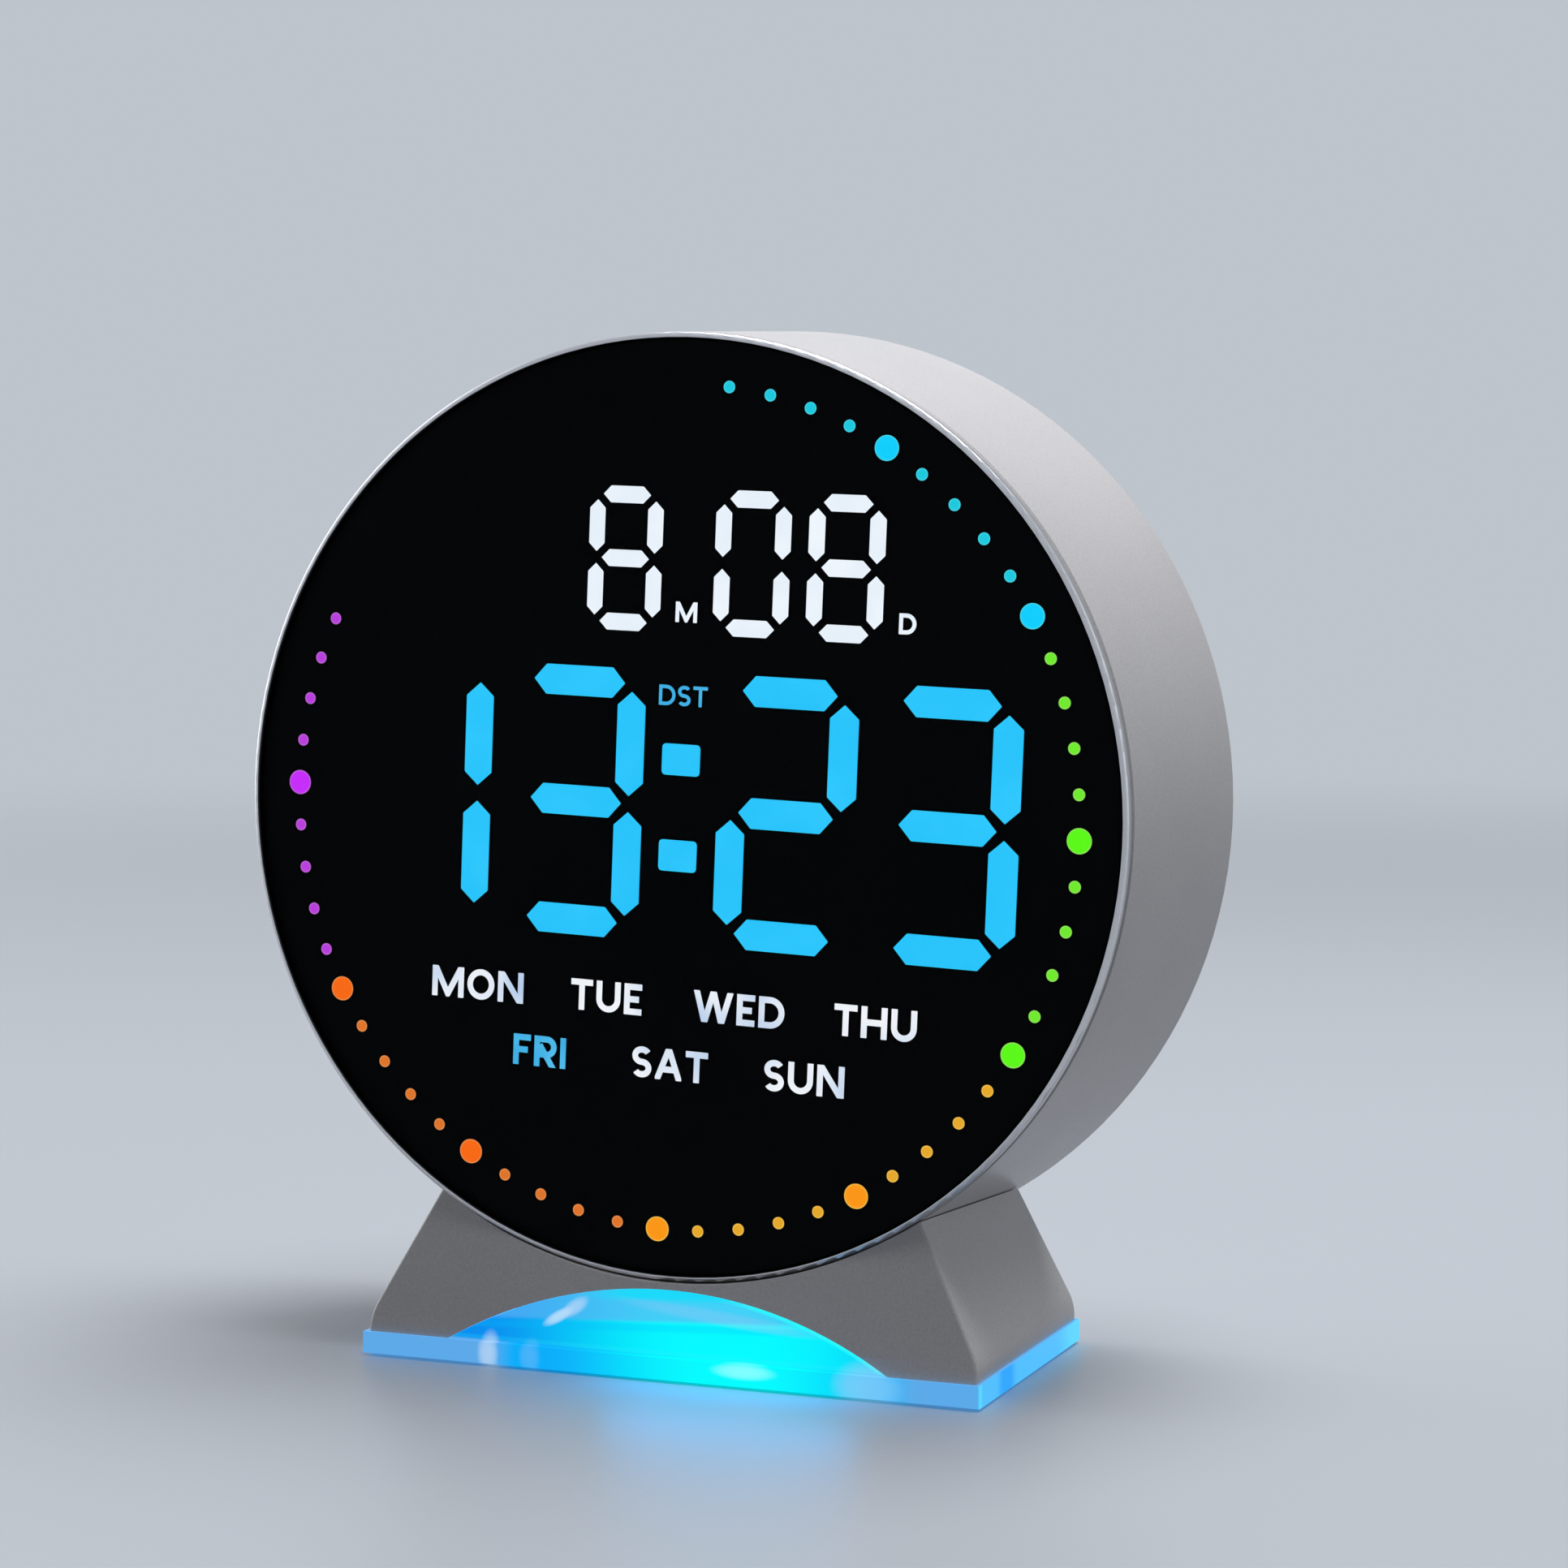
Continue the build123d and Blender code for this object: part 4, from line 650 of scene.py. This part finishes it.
# %% Light guide: the front
def paint_guide_front(tree, side, height):
    """The plate's and the hump's own colours, and over them the bands, lines and spots."""
    in_hump = ramp_between(tree, height, *HUMP_START)
    plate = blend_colours(tree, band(tree, side, *PLATE_BLUE), rgb(94, 168, 232),
                          rgb(10, 172, 250))
    plate = blend_colours(tree, band(tree, side, *PLATE_CORE), plate, rgb(4, 252, 253))
    hump = blend_colours(tree, band(tree, side, *HUMP_CORE), rgb(4, 140, 240), rgb(0, 252, 254))
    colour = blend_colours(tree, in_hump, plate, hump)
    level = maths(tree, "SUBTRACT", height, maths(tree, "MULTIPLY", side, BAND_TILT))
    crown = maths(tree, "MULTIPLY", ramp_between(tree, level, *CROWN_RISE),
                  band(tree, side, *CROWN_WIDTH))
    foot_line = maths(tree, "MULTIPLY", in_hump, band(tree, height, *FOOT_LINE))
    above_centre = maths(tree, "SUBTRACT", height, guide_high.z - arch_radius)
    from_centre = distance_from_middle(tree, side, above_centre)
    arch_line = maths(tree, "MULTIPLY", ramp_between(tree, from_centre, *ARCH_EDGE),
                      ramp_between(tree, side, *ARCH_RIGHT))
    for mask, strength, over in (
            (ramp_between(tree, level, *UPPER_RISE), 0.62, rgb(84, 176, 242)),
            (crown, 0.85, rgb(6, 220, 250)),
            (band(tree, level, *DIP_BAND), 0.25, rgb(0, 186, 252)),
            (foot_line, 0.15, rgb(40, 236, 255)),
            (maths(tree, "MULTIPLY", in_hump, arch_line), 0.85, rgb(40, 252, 255))):
        colour = layer(tree, colour, mask, strength, over)
    for middle, halves, slope, strength, pale in GUIDE_SPOTS:
        patch = spot(tree, side, height, middle, halves, slope)
        colour = layer(tree, colour, patch, strength, pale)
    return colour


# %% Light guide: the right-hand side
def paint_guide_side(tree, side, depth, colour):
    """The front's colour, and on the right-hand side a blue with painted highlights at both ends.
    """
    on_side = ramp_between(tree, side, *SIDE_START)
    blue = blend_colours(tree, band(tree, depth, *SIDE_DEEP), rgb(76, 188, 250),
                         rgb(36, 162, 250))
    colour = blend_colours(tree, on_side, colour, blue)
    # The paler front corner and far end are painted highlights along the plate's edges.
    ends = maths(tree, "MAXIMUM", ramp_between(tree, depth, *NEAR_CORNER),
                 ramp_between(tree, depth, *FAR_END))
    return layer(tree, colour, maths(tree, "MULTIPLY", on_side, ends), 0.8, rgb(88, 216, 255))


# %% Light guide: the finish
def build_guide():
    material, tree, sockets = start_material(
        "guide_acrylic", Roughness=0.12, IOR=1.3, Specular_IOR_Level=0.12, Emission_Strength=1.0)
    point, along = shaded_point(tree)
    side, depth, height = (along[axis] for axis in "XYZ")
    colour = paint_guide_side(tree, side, depth, paint_guide_front(tree, side, height))
    _, tone = add_grain(tree, point, grain_scale=260.0, tone_scale=55.0)
    drift = ramp_between(tree, tone, *DRIFT)
    drifting = layer(tree, colour, drift, 0.08, rgb(24, 190, 250))
    feed(tree, drifting, sockets["Emission Color"])
    unlit = blend_colours(tree, drift, rgb(0, 10, 30), rgb(1, 18, 44))
    feed(tree, unlit, sockets["Base Color"])
    feed(tree, bump(tree, tone, GRAIN_DEPTH), sockets["Normal"])
    return material


guide_glow = build_guide()
print(guide_glow.name, "has", len(guide_glow.node_tree.nodes), "nodes")

# %% [markdown]
# ## Handing out the finishes
# Each solid keeps its shape and gets its material here. That could be one line for each piece. A
# table is shorter and reads like a parts list: a finish, and the pieces that wear it.

# %% Assign every material
finishes = {
    silver: ("stand_shell",),
    drum_silver: ("drum_housing",),
    rim_silver: ("bezel_ring",),
    rear_grey: ("rear_cover", "cell_door"),
    button_grey: ("button_set", "button_up", "button_down", "button_light"),
    black_plastic: ("controller_chip", "driver_chips", "buzzer", "cell_holder", "socket_tongue",
                    "push_switches", "plunger_set", "plunger_up", "plunger_down",
                    "plunger_light"),
    white_plastic: ("reflector_housing", "link_headers", "lamp_header"),
    board_lacquer: ("main_board", "rear_board", "lamp_strip"),
    rubber: ("rubber_feet",),
    steel: ("clock_crystal", "board_screws", "rear_board_screws", "cover_screws", "door_screw",
            "stand_screws", "guide_screws", "backup_cell", "cell_clip", "power_socket"),
    cable: ("link_ribbon", "lamp_lead"),
    lamp_face: ("display_lamps", "strip_lamps"),
    lens_clear: ("front_lens",),
    film_black: ("mask_film",),
    time_glow: ("time_segments_lit", "colon_windows"),
    date_glow: ("date_segments_lit", "month_day_letters"),
    word_glow: ("weekday_letters",),
    marked_word_glow: ("friday_letters", "summer_time_letters"),
    unlit_print: ("time_segments_unlit", "date_segments_unlit", "second_dots_unlit"),
    guide_glow: ("light_guide",),
    **dot_finishes,
}
dressed = []
for material, names in finishes.items():
    for name in names:
        for slot in nodes[name].material_slots:
            slot.material = material
        dressed.append(name)
print(len(dressed), "pieces dressed, left over:", sorted(set(nodes) - set(dressed)))

# %% [markdown]
# ## Floor and surroundings
# A product picture wants a plain pale floor that runs out of sight. A studio has a curved sheet of
# paper for that. Here a wide flat disc is enough, because far out it fades into the backdrop, so
# that no horizon shows. Floor and backdrop are pale to the camera and in reflections, while the
# light that they throw on the clock stays low, because the softboxes do the modelling.


# %% Helper: rays that see the room
def seen_ray(tree):
    """1 for rays from the camera, in reflections and through glass, 0 for light on the clock."""
    path = tree.nodes.new("ShaderNodeLightPath").outputs
    mirrored = maths(tree, "MAXIMUM", path["Is Glossy Ray"], path["Is Transmission Ray"])
    return maths(tree, "MAXIMUM", path["Is Camera Ray"], mirrored)


# %% Floor
FLOOR_RADIUS = 8.0
FLOOR_SIDES = 96
FLOOR_FADE = (0.35, 1.6)
FLOOR_BOUNCE = rgb(85, 86, 89)
BACKDROP = rgb(190, 196, 204)


def build_floor_paint():
    """Faintly mottled paint that throws little light, and turns into the backdrop far out."""
    material, tree, sockets = start_material("floor_paint", Roughness=0.37, IOR=1.45)
    point, _ = shaded_point(tree)
    seen = seen_ray(tree)
    grain, tone = add_grain(tree, point, grain_scale=700.0, tone_scale=1.5)
    pale = blend_colours(tree, tone, rgb(180, 185, 193), rgb(188, 193, 201))
    feed(tree, blend_colours(tree, seen, FLOOR_BOUNCE, pale), sockets["Base Color"])
    feed(tree, bump(tree, grain, GRAIN_DEPTH), sockets["Normal"])
    away = tree.nodes.new("ShaderNodeVectorMath")
    away.operation = "LENGTH"
    tree.links.new(point, away.inputs[0])
    far = ramp_between(tree, away.outputs["Value"], *FLOOR_FADE)
    plain = tree.nodes.new("ShaderNodeEmission")
    plain.inputs["Color"].default_value = BACKDROP
    mixed = tree.nodes.new("ShaderNodeMixShader")
    feed(tree, maths(tree, "MULTIPLY", seen, far), mixed.inputs[0])
    tree.links.new(node_of(tree, "BSDF_PRINCIPLED").outputs[0], mixed.inputs[1])
    tree.links.new(plain.outputs[0], mixed.inputs[2])
    tree.links.new(mixed.outputs[0], node_of(tree, "OUTPUT_MATERIAL").inputs["Surface"])
    return material


def build_floor():
    angles = [2 * math.pi * step / FLOOR_SIDES for step in range(FLOOR_SIDES)]
    corners = [(FLOOR_RADIUS * math.cos(a), FLOOR_RADIUS * math.sin(a), 0.0) for a in angles]
    mesh = bpy.data.meshes.new("floor")
    mesh.from_pydata(corners, [], [tuple(range(FLOOR_SIDES))])
    mesh.materials.append(build_floor_paint())
    floor = bpy.data.objects.new("floor", mesh)
    bpy.context.scene.collection.objects.link(floor)


build_floor()
print("floor", 2 * FLOOR_RADIUS, "m across, fading from", FLOOR_FADE[0], "to", FLOOR_FADE[1], "m")

# %% World
WORLD_LIGHT = (0.075, 0.075, 0.077, 1.0)


def build_world():
    """Pale to the camera, in reflections and through glass, and dimmer as a light."""
    world = bpy.data.worlds.new("room")
    bpy.context.scene.world = world
    world.use_nodes = True
    tree = world.node_tree
    colour = blend_colours(tree, seen_ray(tree), WORLD_LIGHT, BACKDROP)
    feed(tree, colour, node_of(tree, "BACKGROUND").inputs["Color"])


build_world()
print("world light", WORLD_LIGHT[:3])

# %% [markdown]
# ## Softboxes
# A wide lamp near a shiny thing makes soft shadows and broad reflections, where a small one makes
# hard ones. The strongest softbox hangs overhead, a little behind and to the right. It makes the
# top of the drum bright, lets its side fall to mid grey and leaves the front of the stand in shade.
# A wide low one at the left draws the bright line along the rim. A weak one at the right keeps the
# right sides of the drum and of the stand lighter than the stand's front.


# %% Lamps
def area_lamp(name, shape, size, power):
    """A flat lamp of this shape, size in metres and power in watts, ready to be placed."""
    data = bpy.data.lights.new(name, "AREA")
    data.shape = shape
    data.size, data.size_y = size
    data.energy = power
    lamp = bpy.data.objects.new(name, data)
    bpy.context.scene.collection.objects.link(lamp)
    return lamp


# Each softbox is where it hangs from the lens, its size across and up, and its power.
SOFTBOXES = {
    "softbox_overhead": ((0.22, 0.22, 1.2), (0.9, 0.9), 19.0),
    "softbox_left": ((-1.3, 0.25, 0.36), (1.5, 1.3), 9.5),
    "softbox_right": ((1.3, 0.3, 0.1), (1.1, 0.9), 1.4),
}
for name, (from_lens, size, power) in SOFTBOXES.items():
    lamp = area_lamp(name, "RECTANGLE", size, power)
    lamp.location = lens_middle + Vector(from_lens)
    lamp.rotation_euler = (lens_middle - lamp.location).to_track_quat("-Z", "Y").to_euler()
    print(name, "at", tuple(round(value, 2) for value in lamp.location), power, "W")

# %% [markdown]
# ## Light leaking from the base
# The base also throws blue light on the table. The painted glow is only as bright as a screen can
# show, so by itself it throws too little. A thin lamp just ahead of the plate stands in for the
# leaking light. It faces the table, and the camera doesn't see the lamp itself.

# %% Edge lamp
EDGE_LAMP_AHEAD = 1.0 * MM
EDGE_LAMP_RISE = 5.0 * MM
EDGE_LAMP_TILT = math.radians(40)
EDGE_LAMP_SIZE = (46 * MM, 9 * MM)
EDGE_LAMP_POWER = 0.0042
EDGE_LAMP_COLOUR = rgb(10, 160, 255)
edge_lamp = area_lamp("edge_lamp", "ELLIPSE", EDGE_LAMP_SIZE, EDGE_LAMP_POWER)
edge_lamp.data.color = EDGE_LAMP_COLOUR[:3]
edge_lamp.location = (CORE_MIDDLE, guide_low.y - EDGE_LAMP_AHEAD, plate_top + EDGE_LAMP_RISE)
edge_lamp.rotation_euler = (-EDGE_LAMP_TILT, 0, 0)
edge_lamp.visible_camera = False
print("edge lamp", round(edge_lamp.location.z / MM, 1), "mm above the floor")

# %% [markdown]
# ## The camera
# The picture is taken from the clock's right and a little above, with a long lens. The camera could
# be placed by hand and nudged until the view fits. Here its distance and its offsets are shares of
# the lens radius instead, so the framing follows the clock if its size changes.

# %% Camera
CAMERA_AZIMUTH = 21.919
CAMERA_ELEVATION = 3.786
CAMERA_ROLL = -0.14
DISTANCE_SHARE = 7.5248
ACROSS_SHARE = 0.2444
UP_SHARE = 0.0572
FOCAL_LENGTH = 81.345
SENSOR_WIDTH = 36.0


def turn_about(axis, degrees):
    """A turn about one of the axes."""
    return Matrix.Rotation(math.radians(degrees), 3, axis)


camera_turn = (turn_about("Z", CAMERA_AZIMUTH) @ turn_about("X", 90 - CAMERA_ELEVATION)
               @ turn_about("Z", CAMERA_ROLL))
offset = camera_turn @ Vector((ACROSS_SHARE, UP_SHARE, DISTANCE_SHARE))
camera_data = bpy.data.cameras.new("camera")
camera_data.lens = FOCAL_LENGTH
camera_data.sensor_width = SENSOR_WIDTH
camera = bpy.data.objects.new("camera", camera_data)
camera.location = lens_middle + offset * lens_radius
camera.rotation_euler = camera_turn.to_euler()
bpy.context.scene.collection.objects.link(camera)
bpy.context.scene.camera = camera
bpy.context.scene.view_settings.view_transform = "Standard"
print("camera at", tuple(camera.location))
